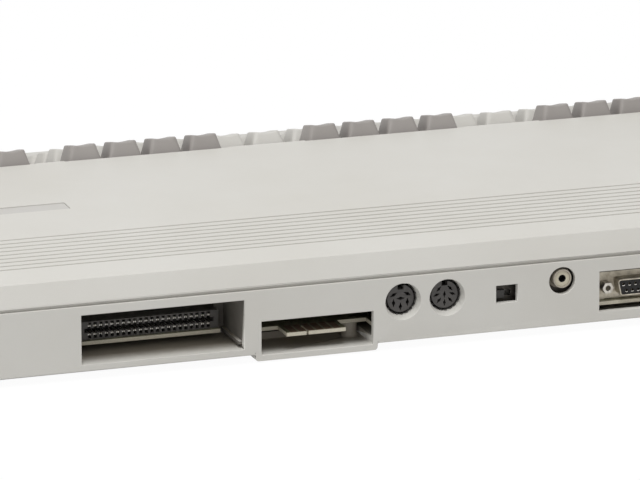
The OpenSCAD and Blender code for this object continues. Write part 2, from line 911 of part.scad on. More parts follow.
module slot_housing() {
    half = slot_l / 2;
    color(PLASTIC)
    difference() {
        box([slot_x - half, slot_face_f, board_z],
            [slot_x + half, slot_face_f + slot_depth, board_z + slot_h]);
        box([slot_x - half + slot_end, slot_face_f - 1, slot_mid_z - slot_gap_z / 2],
            [slot_x + half - slot_end, slot_face_f + cell_depth, slot_mid_z + slot_gap_z / 2]);
        for (x = slot_contact_x)
            box([x - slot_cell / 2, slot_face_f - 1, slot_mid_z - cell_h / 2],
                [x + slot_cell / 2, slot_face_f + cell_depth, slot_mid_z + cell_h / 2]);
    }
}

module slot_contacts() {
    color(GOLD)
    for (x = slot_contact_x, i = [-1, 1])
        box([x - contact_w / 2, slot_face_f + contact_back,
             slot_mid_z + i * contact_z - contact_t / 2],
            [x + contact_w / 2, slot_face_f + cell_depth,
             slot_mid_z + i * contact_z + contact_t / 2]);
}

// Round socket: its block, its round face with pin holes, and a slot for its ring
module din_socket(x, angles) {
    face_r = din_r - ring_t - shell_gap;
    difference() {
        union() {
            box([x - din_body_w / 2, din_body_f, board_z],
                [x + din_body_w / 2, din_body_f + din_body_d, din_body_top]);
            round_y(x, din_face_f + din_inset, socket_z, face_r, din_body_f);
        }
        difference() {
            round_y(x, din_face_f, socket_z, din_r + ring_play, ring_l);
            round_y(x, din_face_f - 1, socket_z, face_r, ring_l + 2);
        }
        for (a = angles)
            round_y(x + pin_circle_r * sin(a), din_face_f - 1, socket_z + pin_circle_r * cos(a),
                    pin_hole_r, pin_hole_l);
        round_y(x, din_face_f - 1, socket_z, pin_hole_r, pin_hole_l);
        box([x - notch_w / 2, din_face_f - 1, socket_z + face_r - notch_h],
            [x + notch_w / 2, din_face_f + 3, socket_z + din_r]);
    }
}

module serial_socket() {
    color(PLASTIC) din_socket(serial_x, [for (i = [1:5]) i * 60]);
}

module video_socket() {
    color(PLASTIC) din_socket(video_x, [for (i = [1:7]) i * 45]);
}

module socket_rings() {
    color(METAL)
    for (x = [serial_x, video_x])
        difference() {
            round_y(x, din_face_f, socket_z, din_r, ring_l);
            round_y(x, din_face_f - 1, socket_z, din_r - ring_t, ring_l + 2);
            for (i = [0:tooth_n - 1])
                translate([x, yf(din_face_f + tooth_l), socket_z])
                    rotate([0, (i + 0.5) * 360 / tooth_n, 0])
                        translate([-tooth_gap / 2, 0, din_r - ring_t - 1])
                            cube([tooth_gap, tooth_l + 1, ring_t + 2]);
        }
}

module rf_modulator() {
    slot_half = (knob_w + channel_travel) / 2 + slide_play;
    color(METAL)
    difference() {
        box([can_x[0], can_f[0], board_z], [can_x[1], can_f[1], can_top]);
        box([can_x[0] + can_t, can_f[0] + can_t, board_z + can_t],
            [can_x[1] - can_t, can_f[1] - can_t, can_top - can_t]);
        box([channel_x - slot_half, can_f[0] - 1, knob_z - neck_h / 2 - slide_play],
            [channel_x + slot_half, can_f[0] + 2, knob_z + neck_h / 2 + slide_play]);
    }
}

// The slider rests at the right end of its slot
module channel_slider() {
    left = channel_x + channel_travel / 2 - knob_w / 2;
    right = left + knob_w;
    outside = can_f[0] - face_play;
    inside = can_f[0] + can_t + face_play;
    color(PLASTIC) {
        box([left, outside - knob_d, knob_z - knob_h / 2], [right, outside, knob_z + knob_h / 2]);
        box([left, outside - 1, knob_z - neck_h / 2], [right, inside + 1, knob_z + neck_h / 2]);
        box([left, inside, knob_z - knob_h / 2], [right, inside + knob_d, knob_z + knob_h / 2]);
    }
}

module phono_ring() {
    color(METAL)
    difference() {
        union() {
            round_y(phono_x, phono_f, phono_z, phono_r, can_f[0] - phono_f);
            round_y(phono_x, can_f[0] - collar_t, phono_z, phono_r + 1, collar_t);
        }
        round_y(phono_x, -1, phono_z, phono_r - phono_t, can_f[0] + 2);
    }
}

module phono_core() {
    color("#ddd8c6")
    difference() {
        round_y(phono_x, phono_f + core_back, phono_z, phono_r - phono_t - ring_play,
                can_f[0] - phono_f - core_back);
        round_y(phono_x, 0, phono_z, core_hole_r, can_f[0] - 1);
    }
}

// Outline of a D connector, wide edge up, grown by g
module d_outline(g, tall = d_h) {
    w = d_w;
    h = tall / 2 + g;
    polygon(rounded([[-w[0] / 2 - g, h, d_round + g], [w[0] / 2 + g, h, d_round + g],
                     [w[1] / 2 + g, -h, d_round + g], [-w[1] / 2 - g, -h, d_round + g]]));
}

// Places children drawn with the mating direction as +Z and the wide edge towards +Y
module facing_rear(x, f, z) {
    translate([x, yf(f), z]) rotate([90, 0, 180]) children();
}

module facing_right(x, f, z) {
    translate([x, yf(f), z]) rotate([90, 0, 90]) children();
}

// The nine contact places of a D connector
module d_contacts() {
    for (i = [0:4]) translate([(i - 2) * d_pitch, d_row, 0]) children();
    for (i = [0:3]) translate([(i - 1.5) * d_pitch, -d_row, 0]) children();
}

// Metal shell with its flange: the flange's front face is at 0
module d_shell(hole_r, tall = d_h) {
    difference() {
        union() {
            translate([0, 0, -flange_t / 2])
                linear_extrude(height = shell_l + flange_t / 2) d_outline(0, tall);
            translate([-flange_w / 2, -flange_h / 2, -flange_t])
                cube([flange_w, flange_h, flange_t]);
        }
        translate([0, 0, -flange_t - 1]) linear_extrude(height = far) d_outline(-d_t, tall);
        if (hole_r > 0)
            for (i = [-1, 1])
                translate([i * post_pitch / 2, 0, -flange_t - 1]) cylinder(r = hole_r, h = 4);
    }
}

// Moulded block behind the flange, down to the board
module d_block(z) {
    translate([-block_w / 2, board_z - z, -flange_t - block_d])
        cube([block_w, z - board_z + block_h / 2, block_d]);
}

module monitor_shell() {
    color(METAL) facing_rear(monitor_x, monitor_face_f, monitor_z) {
        d_shell(flange_hole_r, socket_h);
        for (i = [-1, 1])
            translate([i * (flange_w - bracket_w) / 2 - bracket_w / 2, board_z - monitor_z, 0]) {
                translate([0, 0, -flange_t - block_d]) cube([bracket_w, flange_t, block_d + flange_t]);
                translate([0, 0, -flange_t]) cube([bracket_w, bracket_w, flange_t]);
            }
    }
}

module monitor_insert() {
    color(PLASTIC) facing_rear(monitor_x, monitor_face_f, monitor_z)
        difference() {
            union() {
                translate([0, 0, -flange_t - eps])
                    linear_extrude(height = shell_l + flange_t - 0.4) d_outline(-d_t - 0.05, socket_h);
                d_block(monitor_z);
            }
            d_contacts() translate([0, 0, -contact_root]) cylinder(r = pin_r + hole_play, h = far);
        }
}

module jack_posts() {
    color(METAL) facing_rear(monitor_x, monitor_face_f, monitor_z)
        for (i = [-1, 1])
            translate([i * post_pitch / 2, 0, 0])
                difference() {
                    union() {
                        cylinder(r = hex_r, h = hex_l, $fn = 6);
                        translate([0, 0, -contact_root])
                            cylinder(r = screw_r, h = contact_root + 1);
                    }
                    translate([0, 0, hex_floor]) cylinder(r = hex_bore_r, h = hex_l);
                }
}

module port_places() {
    for (i = [0, 1]) facing_right(side_face_x, port_f + i * port_pitch, side_z) children();
}

module port_shells() {
    color(METAL) port_places() d_shell(0);
}

module port_housings() {
    color(PLASTIC) port_places()
        difference() {
            union() {
                translate([0, 0, -flange_t - eps])
                    linear_extrude(height = flange_t) d_outline(-d_t - 0.05);
                d_block(side_z);
            }
            d_contacts() translate([0, 0, -contact_root]) cylinder(r = pin_r + pin_play, h = far);
        }
}

module connector_pins() {
    color(GOLD) {
        port_places() d_contacts() translate([0, 0, -contact_root]) cylinder(r = pin_r, h = pin_l);
        facing_right(power_face_x, power_f, side_z)
            for (p = power_pins)
                translate([p[0], p[1], -power_pin_root]) cylinder(r = power_pin_r, h = power_pin_l);
    }
}

// Block from x0 to x1, centred w wide on a distance from the rear, between two heights
module side_block(x0, x1, f, w, z) {
    box([x0, f - w / 2, z[0]], [x1, f + w / 2, z[1]]);
}

module power_socket() {
    color(PLASTIC)
    difference() {
        union() {
            side_block(power_face_x - power_l, switch_face_x, power_f, power_w,
                       [board_z, side_z + power_h / 2]);
            side_block(switch_face_x - 1, power_face_x, power_f, power_w,
                       [side_z - power_h / 2, side_z + power_h / 2]);
        }
        side_block(power_face_x - power_well, far * 4, power_f, power_w - 2 * power_wall,
                   [side_z - power_h / 2 + power_wall, side_z + power_h / 2 - power_wall]);
        facing_right(power_face_x, power_f, side_z)
            for (p = power_pins)
                translate([p[0], p[1], -power_pin_root]) cylinder(r = power_pin_r + pin_play, h = 4);
    }
}

module power_switch_housing() {
    color(PLASTIC)
    difference() {
        side_block(switch_face_x - switch_l, switch_face_x, switch_f, switch_w,
                   [board_z, 2 * side_z - board_z]);
        side_block(switch_face_x - rocker_depth, far * 4, switch_f, 2 * rocker_half + rocker_play,
                   [side_z - rocker_h / 2 - rocker_gap, side_z + rocker_h / 2 + rocker_gap]);
        translate([rocker_x, yf(switch_f), side_z])
            cylinder(r = stub_r + stub_play, h = rocker_h + 2 * stub_l + rocker_gap, center = true);
    }
}

module power_rocker() {
    color("#c9c6bf")
    translate([rocker_x, yf(switch_f), side_z])
        rotate(rocker_tilt) {
            translate([0, 0, -rocker_h / 2])
                linear_extrude(height = rocker_h)
                    polygon(concat(rocker_outline,
                                   [for (i = [3:-1:1]) [rocker_outline[i].x, -rocker_outline[i].y]]));
            cylinder(r = stub_r, h = rocker_h + 2 * stub_l, center = true);
        }
}

module reset_switch() {
    color(PLASTIC)
    difference() {
        side_block(reset_face_x - reset_l, reset_face_x, reset_f, reset_w,
                   [board_z, side_z + reset_w / 2]);
        round_x(reset_face_x + 1, reset_f, side_z, reset_stem_r + stub_play, reset_l);
    }
}

module reset_button() {
    color("#c9c6bf") {
        round_x(reset_tip_x, reset_f, side_z, reset_cap_r,
                reset_tip_x - reset_face_x - reset_travel - rocker_gap);
        round_x(reset_tip_x - 1, reset_f, side_z, reset_stem_r,
                reset_tip_x - 1 - reset_face_x + reset_l / 2);
    }
}

// Keys as [unit from the block's left end, row, width in units, rows deep]
top_keys = [for (g = [0, 6, 12]) each [for (i = [0:3]) [g + i, 0, 1, 1]]];
function key_run(row, start, count) = [for (i = [0:count - 1]) [start + i, row, 1, 1]];
number_run = key_run(1, 0, 16);
letter_run = concat(key_run(2, 1.5, 13), key_run(3, 2, 12), key_run(4, 2.5, 10));
function command_run() = [[0, 2, 1.5, 1], [14.5, 2, 1.5, 1], [0, 3, 1, 1], [0, 4, 1, 1],
                          [14, 4, 1, 1], [15, 4, 1, 1]];
function lock_key() = [1, 3, 1, 1];
function left_shift() = [1, 4, 1.5, 1];
function right_shift() = [12.5, 4, 1.5, 1];
function return_place() = [14, 3, 2, 1];
function space_place() = [3, 5, 9, 1];
pad_run = concat(key_run(1, 0, 4), key_run(2, 0, 4), key_run(3, 0, 3),
                 [[0, 4, 2, 1], [2, 4, 1, 1]]);
function enter_place() = [3, 3, 1, 2];
pad_top = key_run(0, 0, 4);

main_keys = concat(top_keys, number_run, letter_run, command_run(),
                   [lock_key(), left_shift(), right_shift(), return_place(), space_place()]);
pad_keys = concat(pad_top, pad_run, [enter_place()]);

function key_x(k) = (k[0] + k[2] / 2) * pitch;
function key_s(k) = row_s[k[1]] + (k[3] - 1) * pitch / 2;
// Plunger places across a key: three under the space bar, one under any other key
function plunger_at(k) = k[2] > 4 ? [-3 * pitch, 0, 3 * pitch] : [0];

// Block with sloping sides: base, top and height, with the top set back from the rear
module frustum(base_x, base_y, top_x, rear, front, h) {
    intersection() {
        rotate([90, 0, 0])
            linear_extrude(height = base_y, center = true)
                polygon([[-base_x / 2, 0], [base_x / 2, 0], [top_x / 2, h], [-top_x / 2, h]]);
        rotate([90, 0, 90])
            linear_extrude(height = base_x, center = true)
                polygon([[-base_y / 2, 0], [base_y / 2, 0], [base_y / 2 - rear, h],
                         [-base_y / 2 + front, h]]);
    }
}

module key(k) {
    base_x = k[2] * pitch - cap_gap;
    base_y = k[3] * pitch - cap_gap;
    side = (cap_base - cap_top) / 2;
    top_x = base_x - 2 * side;
    front = cap_base - cap_top - rear_inset;
    h = row_h[k[1]];
    dish_r = (top_x * top_x / 4 + dish * dish) / (2 * dish);
    difference() {
        frustum(base_x, base_y, top_x, rear_inset, front, h);
        // The space bar alone has no dish
        if (k[2] < 4)
            translate([0, 0, h - dish + dish_r]) rotate([90, 0, 0])
                cylinder(r = dish_r, h = base_y + 2, center = true, $fn = ceil(dish_r) * 6);
        translate([0, 0, -eps])
            frustum(base_x - 2 * cap_wall, base_y - 2 * cap_wall, top_x - 1.6 * cap_wall,
                    rear_inset, front, h - dish - cap_wall);
    }
    for (x = plunger_at(k))
        translate([x, 0, plunger_end])
            cylinder(r = plunger_r, h = h - dish - cap_wall / 2 - plunger_end);
}

module keys(list, x, shade) {
    color(shade) in_keyboard()
        for (k = list) translate([x + key_x(k), -key_s(k), 0]) key(k);
}

module key_places() {
    for (k = main_keys, p = plunger_at(k)) translate([keys_x + key_x(k) + p, -key_s(k)]) children();
    for (k = pad_keys) translate([pad_x + key_x(k), -key_s(k)]) children();
}

module keyboard_frame() {
    color(PLASTIC) in_keyboard() {
        translate([0, 0, plate_top - plate_t])
            linear_extrude(height = plate_t)
                difference() {
                    translate([-plate_x, -plate_s[1]])
                        square([2 * plate_x, plate_s[1] - plate_s[0]]);
                    key_places() circle(plunger_r + plunger_play);
                    keyboard_post_places() circle(screw_hole_r);
                }
        translate([0, 0, plate_top])
            linear_extrude(height = guide_top - plate_top)
                difference() {
                    key_places() circle(guide_r);
                    key_places() circle(plunger_r + plunger_play);
                }
        for (s = stud_s, x = stud_x)
            translate([x, -s, key_board_top]) cylinder(r = stud_r, h = key_board_gap + 0.5);
    }
}

module keyboard_board() {
    color(BOARD) in_keyboard()
        difference() {
            translate([-key_board_x, -key_board_s[1], key_board_back])
                cube([2 * key_board_x, key_board_s[1] - key_board_s[0], key_board_t]);
            keyboard_post_places()
                translate([0, 0, key_board_back - 1]) cylinder(r = head_r + head_play, h = key_board_t + 2);
        }
}

module keyboard_cable() {
    half = cable_w / 2;
    color("#8b8a86")
    difference() {
        union() {
            box([cable_x - half - 2, cable_f - header_d / 2, board_z],
                [cable_x + half + 2, cable_f + header_d / 2, board_z + header_h]);
            box([cable_x - half, cable_f - cable_t / 2, board_z],
                [cable_x + half, cable_f + cable_t / 2, keys_z]);
        }
        in_keyboard() translate([-far * 4, -far * 3, key_board_back])
            cube([far * 8, far * 4, far]);
    }
}

bottom_case();
top_case();
rubber_feet();
case_screws();
nameplate();
power_lamp();
main_board();
board_chips();
board_capacitors();
board_shield();
board_screws();
slot_housing();
slot_contacts();
serial_socket();
video_socket();
socket_rings();
rf_modulator();
channel_slider();
phono_ring();
phono_core();
monitor_shell();
monitor_insert();
jack_posts();
port_shells();
port_housings();
connector_pins();
power_socket();
power_switch_housing();
power_rocker();
reset_switch();
reset_button();
keyboard_frame();
keyboard_board();
keyboard_cable();
keys([top_keys[0]], keys_x, DARK_KEY);  // top_key_1
keys([top_keys[1]], keys_x, DARK_KEY);  // top_key_2
keys([top_keys[2]], keys_x, DARK_KEY);  // top_key_3
keys([top_keys[3]], keys_x, DARK_KEY);  // top_key_4
keys([top_keys[4]], keys_x, DARK_KEY);  // top_key_5
keys([top_keys[5]], keys_x, DARK_KEY);  // top_key_6
keys([top_keys[6]], keys_x, DARK_KEY);  // top_key_7
keys([top_keys[7]], keys_x, DARK_KEY);  // top_key_8
keys([top_keys[8]], keys_x, DARK_KEY);  // arrow_key_up
keys([top_keys[9]], keys_x, DARK_KEY);  // arrow_key_down
keys([top_keys[10]], keys_x, DARK_KEY);  // arrow_key_left
keys([top_keys[11]], keys_x, DARK_KEY);  // arrow_key_right
keys([pad_top[0]], pad_x, DARK_KEY);  // function_key_1
keys([pad_top[1]], pad_x, DARK_KEY);  // function_key_2
keys([pad_top[2]], pad_x, DARK_KEY);  // function_key_3
keys([pad_top[3]], pad_x, DARK_KEY);  // function_key_4
keys(number_run, keys_x, LIGHT_KEY);  // number_keys
keys(letter_run, keys_x, LIGHT_KEY);  // letter_keys
keys(command_run(), keys_x, LIGHT_KEY);  // command_keys
keys([lock_key()], keys_x, LIGHT_KEY);  // shift_lock_key
keys([left_shift()], keys_x, LIGHT_KEY);  // left_shift_key
keys([right_shift()], keys_x, LIGHT_KEY);  // right_shift_key
keys([return_place()], keys_x, LIGHT_KEY);  // return_key
keys([space_place()], keys_x, LIGHT_KEY);  // space_bar
keys(pad_run, pad_x, LIGHT_KEY);  // keypad_keys
keys([enter_place()], pad_x, LIGHT_KEY);  // enter_key
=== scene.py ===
"""Looks of a wedge-shaped home computer: moulded case, sculpted keycaps, sockets on two sides.

Sizes are in millimetres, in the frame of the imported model, and MM turns them into Blender's metres.
An "f" is a distance forward from the rear face of the case, as in the part's source.
"""
import math

import bmesh
import bpy
from mathutils import Matrix, Vector


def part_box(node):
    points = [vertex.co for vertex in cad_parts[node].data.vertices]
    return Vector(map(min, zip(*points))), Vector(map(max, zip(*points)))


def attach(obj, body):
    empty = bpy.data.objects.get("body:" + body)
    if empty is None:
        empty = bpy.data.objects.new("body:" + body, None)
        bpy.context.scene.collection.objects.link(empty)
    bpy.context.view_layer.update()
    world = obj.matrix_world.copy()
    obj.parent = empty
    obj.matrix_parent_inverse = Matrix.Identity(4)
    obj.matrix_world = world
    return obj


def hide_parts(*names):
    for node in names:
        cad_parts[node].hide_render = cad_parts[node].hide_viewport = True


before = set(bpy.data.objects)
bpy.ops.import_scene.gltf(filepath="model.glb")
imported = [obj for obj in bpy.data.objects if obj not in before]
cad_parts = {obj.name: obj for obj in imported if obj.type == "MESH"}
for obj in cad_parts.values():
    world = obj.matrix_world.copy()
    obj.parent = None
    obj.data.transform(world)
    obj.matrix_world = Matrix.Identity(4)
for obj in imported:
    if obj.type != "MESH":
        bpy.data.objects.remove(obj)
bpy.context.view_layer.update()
MM = 0.001
BODY = "computer"

# ---------------------------------------------------------------- sizes from the frame
_, case_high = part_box("bottom_case")
REAR_Y = case_high.y / MM
CASE_X = case_high.x / MM

# ---------------------------------------------------------------- camera, lamps and floor
# Places in metres, lens and sensor in millimetres, roll in degrees
CAMERA_PLACE = Vector((0.8752, 2.5442, 0.741))
CAMERA_TARGET = Vector((0.0436, 0.165, 0.052))
CAMERA_ROLL = 0.05
CAMERA_LENS = 344.38
CAMERA_SENSOR = 36
CAMERA_RANGE = (0.1, 20)
LAMP_AIM = Vector((0, 0.1, 0))
# Soft light from all round, against the brightness that a ray to the background sees
AROUND_STRENGTH = 0.4
SEEN_STRENGTH = 1
# The floor: half its width and its drop below the feet in metres, its grey, and the white that shows
FLOOR_HALF = 6
FLOOR_DROP = 0.0002
FLOOR_GREY = 0.74
FLOOR_GLOW = 1.03
FLOOR_GLOW_SHARE = 0.93
WHITE = (1, 1, 1, 1)


def make_camera():
    data = bpy.data.cameras.new("camera")
    data.lens = CAMERA_LENS
    data.sensor_width = CAMERA_SENSOR
    data.clip_start, data.clip_end = CAMERA_RANGE
    look = (CAMERA_TARGET - CAMERA_PLACE).to_track_quat("-Z", "Y").to_matrix()
    look = look @ Matrix.Rotation(math.radians(CAMERA_ROLL), 3, "Z")
    camera = bpy.data.objects.new("camera", data)
    camera.location = CAMERA_PLACE
    camera.rotation_euler = look.to_euler()
    bpy.context.scene.collection.objects.link(camera)
    bpy.context.scene.camera = camera


def make_lamp(name, place, size, power):
    """A round softbox aimed at the rear of the object: its place and size in metres, its power in watts."""
    data = bpy.data.lights.new(name, "AREA")
    data.shape = "DISK"
    data.size = size
    data.energy = power
    lamp = bpy.data.objects.new(name, data)
    lamp.location = place
    lamp.rotation_euler = (LAMP_AIM - Vector(place)).to_track_quat("-Z", "Y").to_euler()
    bpy.context.scene.collection.objects.link(lamp)


def white_to_camera(nodes, links):
    """A mask that is 1 for rays that show a background: camera, glossy and transmission rays."""
    path = nodes.new("ShaderNodeLightPath")
    first = nodes.new("ShaderNodeMath")
    first.operation = "MAXIMUM"
    second = nodes.new("ShaderNodeMath")
    second.operation = "MAXIMUM"
    links.new(path.outputs["Is Camera Ray"], first.inputs[0])
    links.new(path.outputs["Is Glossy Ray"], first.inputs[1])
    links.new(first.outputs[0], second.inputs[0])
    links.new(path.outputs["Is Transmission Ray"], second.inputs[1])
    return second.outputs[0]


def make_world():
    """A white backdrop that lights the object less than it shows."""
    world = bpy.data.worlds.new("studio")
    bpy.context.scene.world = world
    world.use_nodes = True
    nodes, links = world.node_tree.nodes, world.node_tree.links
    nodes.clear()
    soft = nodes.new("ShaderNodeBackground")
    soft.inputs["Color"].default_value = WHITE
    soft.inputs["Strength"].default_value = AROUND_STRENGTH
    shown = nodes.new("ShaderNodeBackground")
    shown.inputs["Color"].default_value = WHITE
    shown.inputs["Strength"].default_value = SEEN_STRENGTH
    mix = nodes.new("ShaderNodeMixShader")
    out = nodes.new("ShaderNodeOutputWorld")
    links.new(white_to_camera(nodes, links), mix.inputs[0])
    links.new(soft.outputs[0], mix.inputs[1])
    links.new(shown.outputs[0], mix.inputs[2])
    links.new(mix.outputs[0], out.inputs[0])


def make_floor():
    """A pale floor that reads as white and keeps a soft trace of the object's shadow."""
    mesh = bpy.data.meshes.new("floor")
    corners = [(x * FLOOR_HALF, y * FLOOR_HALF, 0) for x, y in ((-1, -1), (1, -1), (1, 1), (-1, 1))]
    mesh.from_pydata(corners, [], [(0, 1, 2, 3)])
    floor = bpy.data.objects.new("floor", mesh)
    floor.location.z = -FLOOR_DROP
    bpy.context.scene.collection.objects.link(floor)
    mat = bpy.data.materials.new("pale floor")
    mat.use_nodes = True
    nodes, links = mat.node_tree.nodes, mat.node_tree.links
    nodes.clear()
    matt = nodes.new("ShaderNodeBsdfDiffuse")
    matt.inputs["Color"].default_value = (FLOOR_GREY, FLOOR_GREY, FLOOR_GREY, 1)
    white = nodes.new("ShaderNodeEmission")
    white.inputs["Color"].default_value = WHITE
    white.inputs["Strength"].default_value = FLOOR_GLOW
    share = nodes.new("ShaderNodeMath")
    share.operation = "MULTIPLY"
    share.inputs[1].default_value = FLOOR_GLOW_SHARE
    mix = nodes.new("ShaderNodeMixShader")
    out = nodes.new("ShaderNodeOutputMaterial")
    links.new(white_to_camera(nodes, links), share.inputs[0])
    links.new(share.outputs[0], mix.inputs[0])
    links.new(matt.outputs[0], mix.inputs[1])
    links.new(white.outputs[0], mix.inputs[2])
    links.new(mix.outputs[0], out.inputs["Surface"])
    mesh.materials.append(mat)


def make_studio():
    make_camera()
    make_world()
    make_floor()
    make_lamp("main softbox", place=(0.3, 0.9, 2.2), size=1.3, power=32.5)
    make_lamp("fill softbox", place=(2, 0.3, 0.9), size=1.5, power=7)
    bpy.context.scene.view_settings.view_transform = "Standard"


# ---------------------------------------------------------------- shader groups
# How fast the painted edge highlight and wear set in as an edge turns, how fast dust ends as a face tilts,
# and how far marks are drawn
EDGE_GAIN = 4
DUST_FALLOFF = 3
MARK_STRETCH = 0.08


def srgb(text):
    """A colour as Blender wants it, from six hexadecimal digits of sRGB."""
    channels = [int(text[i:i + 2], 16) / 255 for i in (0, 2, 4)]
    return tuple(c / 12.92 if c <= 0.04045 else ((c + 0.055) / 1.055) ** 2.4 for c in channels) + (1,)


def new_group(name, inputs, outputs):
    """An empty shader node group: sockets as (name, kind, default), and its nodes and links."""
    group = bpy.data.node_groups.new(name, "ShaderNodeTree")
    for label, kind, default in inputs:
        socket = group.interface.new_socket(name=label, in_out="INPUT", socket_type=kind)
        socket.default_value = default
    for label, kind in outputs:
        group.interface.new_socket(name=label, in_out="OUTPUT", socket_type=kind)
    start = group.nodes.new("NodeGroupInput")
    end = group.nodes.new("NodeGroupOutput")
    return group, start, end


def math_node(tree, operation, first, second=None, clamp=False):
    """A math node; each of its inputs is a number or another node's output."""
    node = tree.nodes.new("ShaderNodeMath")
    node.operation = operation
    node.use_clamp = clamp
    for i, value in enumerate((first, second)):
        if value is None:
            continue
        if isinstance(value, (int, float)):
            node.inputs[i].default_value = value
        else:
            tree.links.new(value, node.inputs[i])
    return node.outputs[0]


def noise_node(tree, vector, scale, detail, rough):
    """Noise between 0 and 1; its scale is a number or another node's output."""
    node = tree.nodes.new("ShaderNodeTexNoise")
    if isinstance(scale, (int, float)):
        node.inputs["Scale"].default_value = scale
    else:
        tree.links.new(scale, node.inputs["Scale"])
    node.inputs["Detail"].default_value = detail
    node.inputs["Roughness"].default_value = rough
    tree.links.new(vector, node.inputs["Vector"])
    return node.outputs["Fac"]


def moulded_grain_group():
    """Spark-eroded mould grain: a fine height, and a slow drift of tone from part to part of the surface."""
    group, start, end = new_group(
        "moulded grain",
        [("Grain per mm", "NodeSocketFloat", 2.2), ("Drift per m", "NodeSocketFloat", 14)],
        [("Height", "NodeSocketFloat"), ("Drift", "NodeSocketFloat")],
    )
    place = group.nodes.new("ShaderNodeTexCoord").outputs["Object"]
    scale = math_node(group, "MULTIPLY", start.outputs["Grain per mm"], 1 / MM)
    fine = noise_node(group, place, scale, 3, 0.62)
    cells = group.nodes.new("ShaderNodeTexVoronoi")
    group.links.new(scale, cells.inputs["Scale"])
    group.links.new(place, cells.inputs["Vector"])
    pits = math_node(group, "MULTIPLY", cells.outputs["Distance"], 0.5)
    group.links.new(math_node(group, "ADD", fine, pits), end.inputs["Height"])
    group.links.new(noise_node(group, place, start.outputs["Drift per m"], 4, 0.55), end.inputs["Drift"])
    return group


def edge_wear_and_highlight_group():
    """Where an edge is rounded off, for a painted highlight and wear there: 0 on flat stretches, up to 1
    along edges within the radius.
    """
    group, start, end = new_group(
        "worn edge and painted highlight",
        [("Radius", "NodeSocketFloat", 0.0005), ("Breakup per m", "NodeSocketFloat", 260)],
        [("Edge", "NodeSocketFloat")],
    )
    bevel = group.nodes.new("ShaderNodeBevel")
    bevel.samples = 4
    group.links.new(start.outputs["Radius"], bevel.inputs["Radius"])
    geometry = group.nodes.new("ShaderNodeNewGeometry")
    dot = group.nodes.new("ShaderNodeVectorMath")
    dot.operation = "DOT_PRODUCT"
    group.links.new(bevel.outputs["Normal"], dot.inputs[0])
    group.links.new(geometry.outputs["True Normal"], dot.inputs[1])
    turned = math_node(group, "SUBTRACT", 1, dot.outputs["Value"], True)
    strong = math_node(group, "MULTIPLY", turned, EDGE_GAIN, True)
    place = group.nodes.new("ShaderNodeTexCoord").outputs["Object"]
    broken = noise_node(group, place, start.outputs["Breakup per m"], 3, 0.6)
    group.links.new(math_node(group, "MULTIPLY", strong, broken, True), end.inputs["Edge"])
    return group


def settled_dust_group():
    """A thin film on faces that look up, thicker in patches."""
    group, start, end = new_group(
        "settled dust",
        [("Amount", "NodeSocketFloat", 0.1), ("Patches per m", "NodeSocketFloat", 30)],
        [("Dust", "NodeSocketFloat")],
    )
    geometry = group.nodes.new("ShaderNodeNewGeometry")
    split = group.nodes.new("ShaderNodeSeparateXYZ")
    group.links.new(geometry.outputs["Normal"], split.inputs[0])
    up = math_node(group, "MAXIMUM", split.outputs["Z"], 0)
    up = math_node(group, "POWER", up, DUST_FALLOFF)
    place = group.nodes.new("ShaderNodeTexCoord").outputs["Object"]
    patches = noise_node(group, place, start.outputs["Patches per m"], 5, 0.65)
    film = math_node(group, "MULTIPLY", up, patches)
    group.links.new(math_node(group, "MULTIPLY", film, start.outputs["Amount"], True), end.inputs["Dust"])
    return group


def drawn_metal_group():
    """Fine drawing marks and slow staining of sheet metal."""
    group, start, end = new_group(
        "drawn metal",
        [("Marks per mm", "NodeSocketFloat", 3), ("Stains per m", "NodeSocketFloat", 300)],
        [("Height", "NodeSocketFloat"), ("Stain", "NodeSocketFloat")],
    )
    place = group.nodes.new("ShaderNodeTexCoord").outputs["Object"]
    stretch = group.nodes.new("ShaderNodeMapping")
    stretch.inputs["Scale"].default_value = (MARK_STRETCH, 1, 1)
    group.links.new(place, stretch.inputs["Vector"])
    scale = math_node(group, "MULTIPLY", start.outputs["Marks per mm"], 1 / MM)
    group.links.new(noise_node(group, stretch.outputs[0], scale, 2, 0.5), end.inputs["Height"])
    group.links.new(noise_node(group, place, start.outputs["Stains per m"], 5, 0.6), end.inputs["Stain"])
    return group


# ---------------------------------------------------------------- materials
# Numbers of the colour sockets of a mix node
MIX_FIRST_COLOUR = 6
MIX_SECOND_COLOUR = 7
MIX_COLOUR = 2
# Where the painted shade inside the case starts and where it is full, from the rear face
INSIDE_SHADE_F = (5, 15)
INSIDE_SHADE_COLOUR = "9f988c"
INSIDE_SHADE_CLOUDS_PER_M = 240
INSIDE_SHADE_DRIFT = 4
DUST_COLOUR = "e4e2dc"
# The light tint of metal edges: bare metal where plating wears, and a painted highlight along the edge
BARE_METAL_AND_HIGHLIGHT = "efece6"
# Tracks of a circuit board: how close they lie, how far and how often they bend, and where they start
TRACKS_PER_M = 520
TRACK_BEND = 16
BENDS_PER_M = 70
TRACK_SHARE = (0.52, 0.6)
FIBRE_SPECKLE = "8f8872"


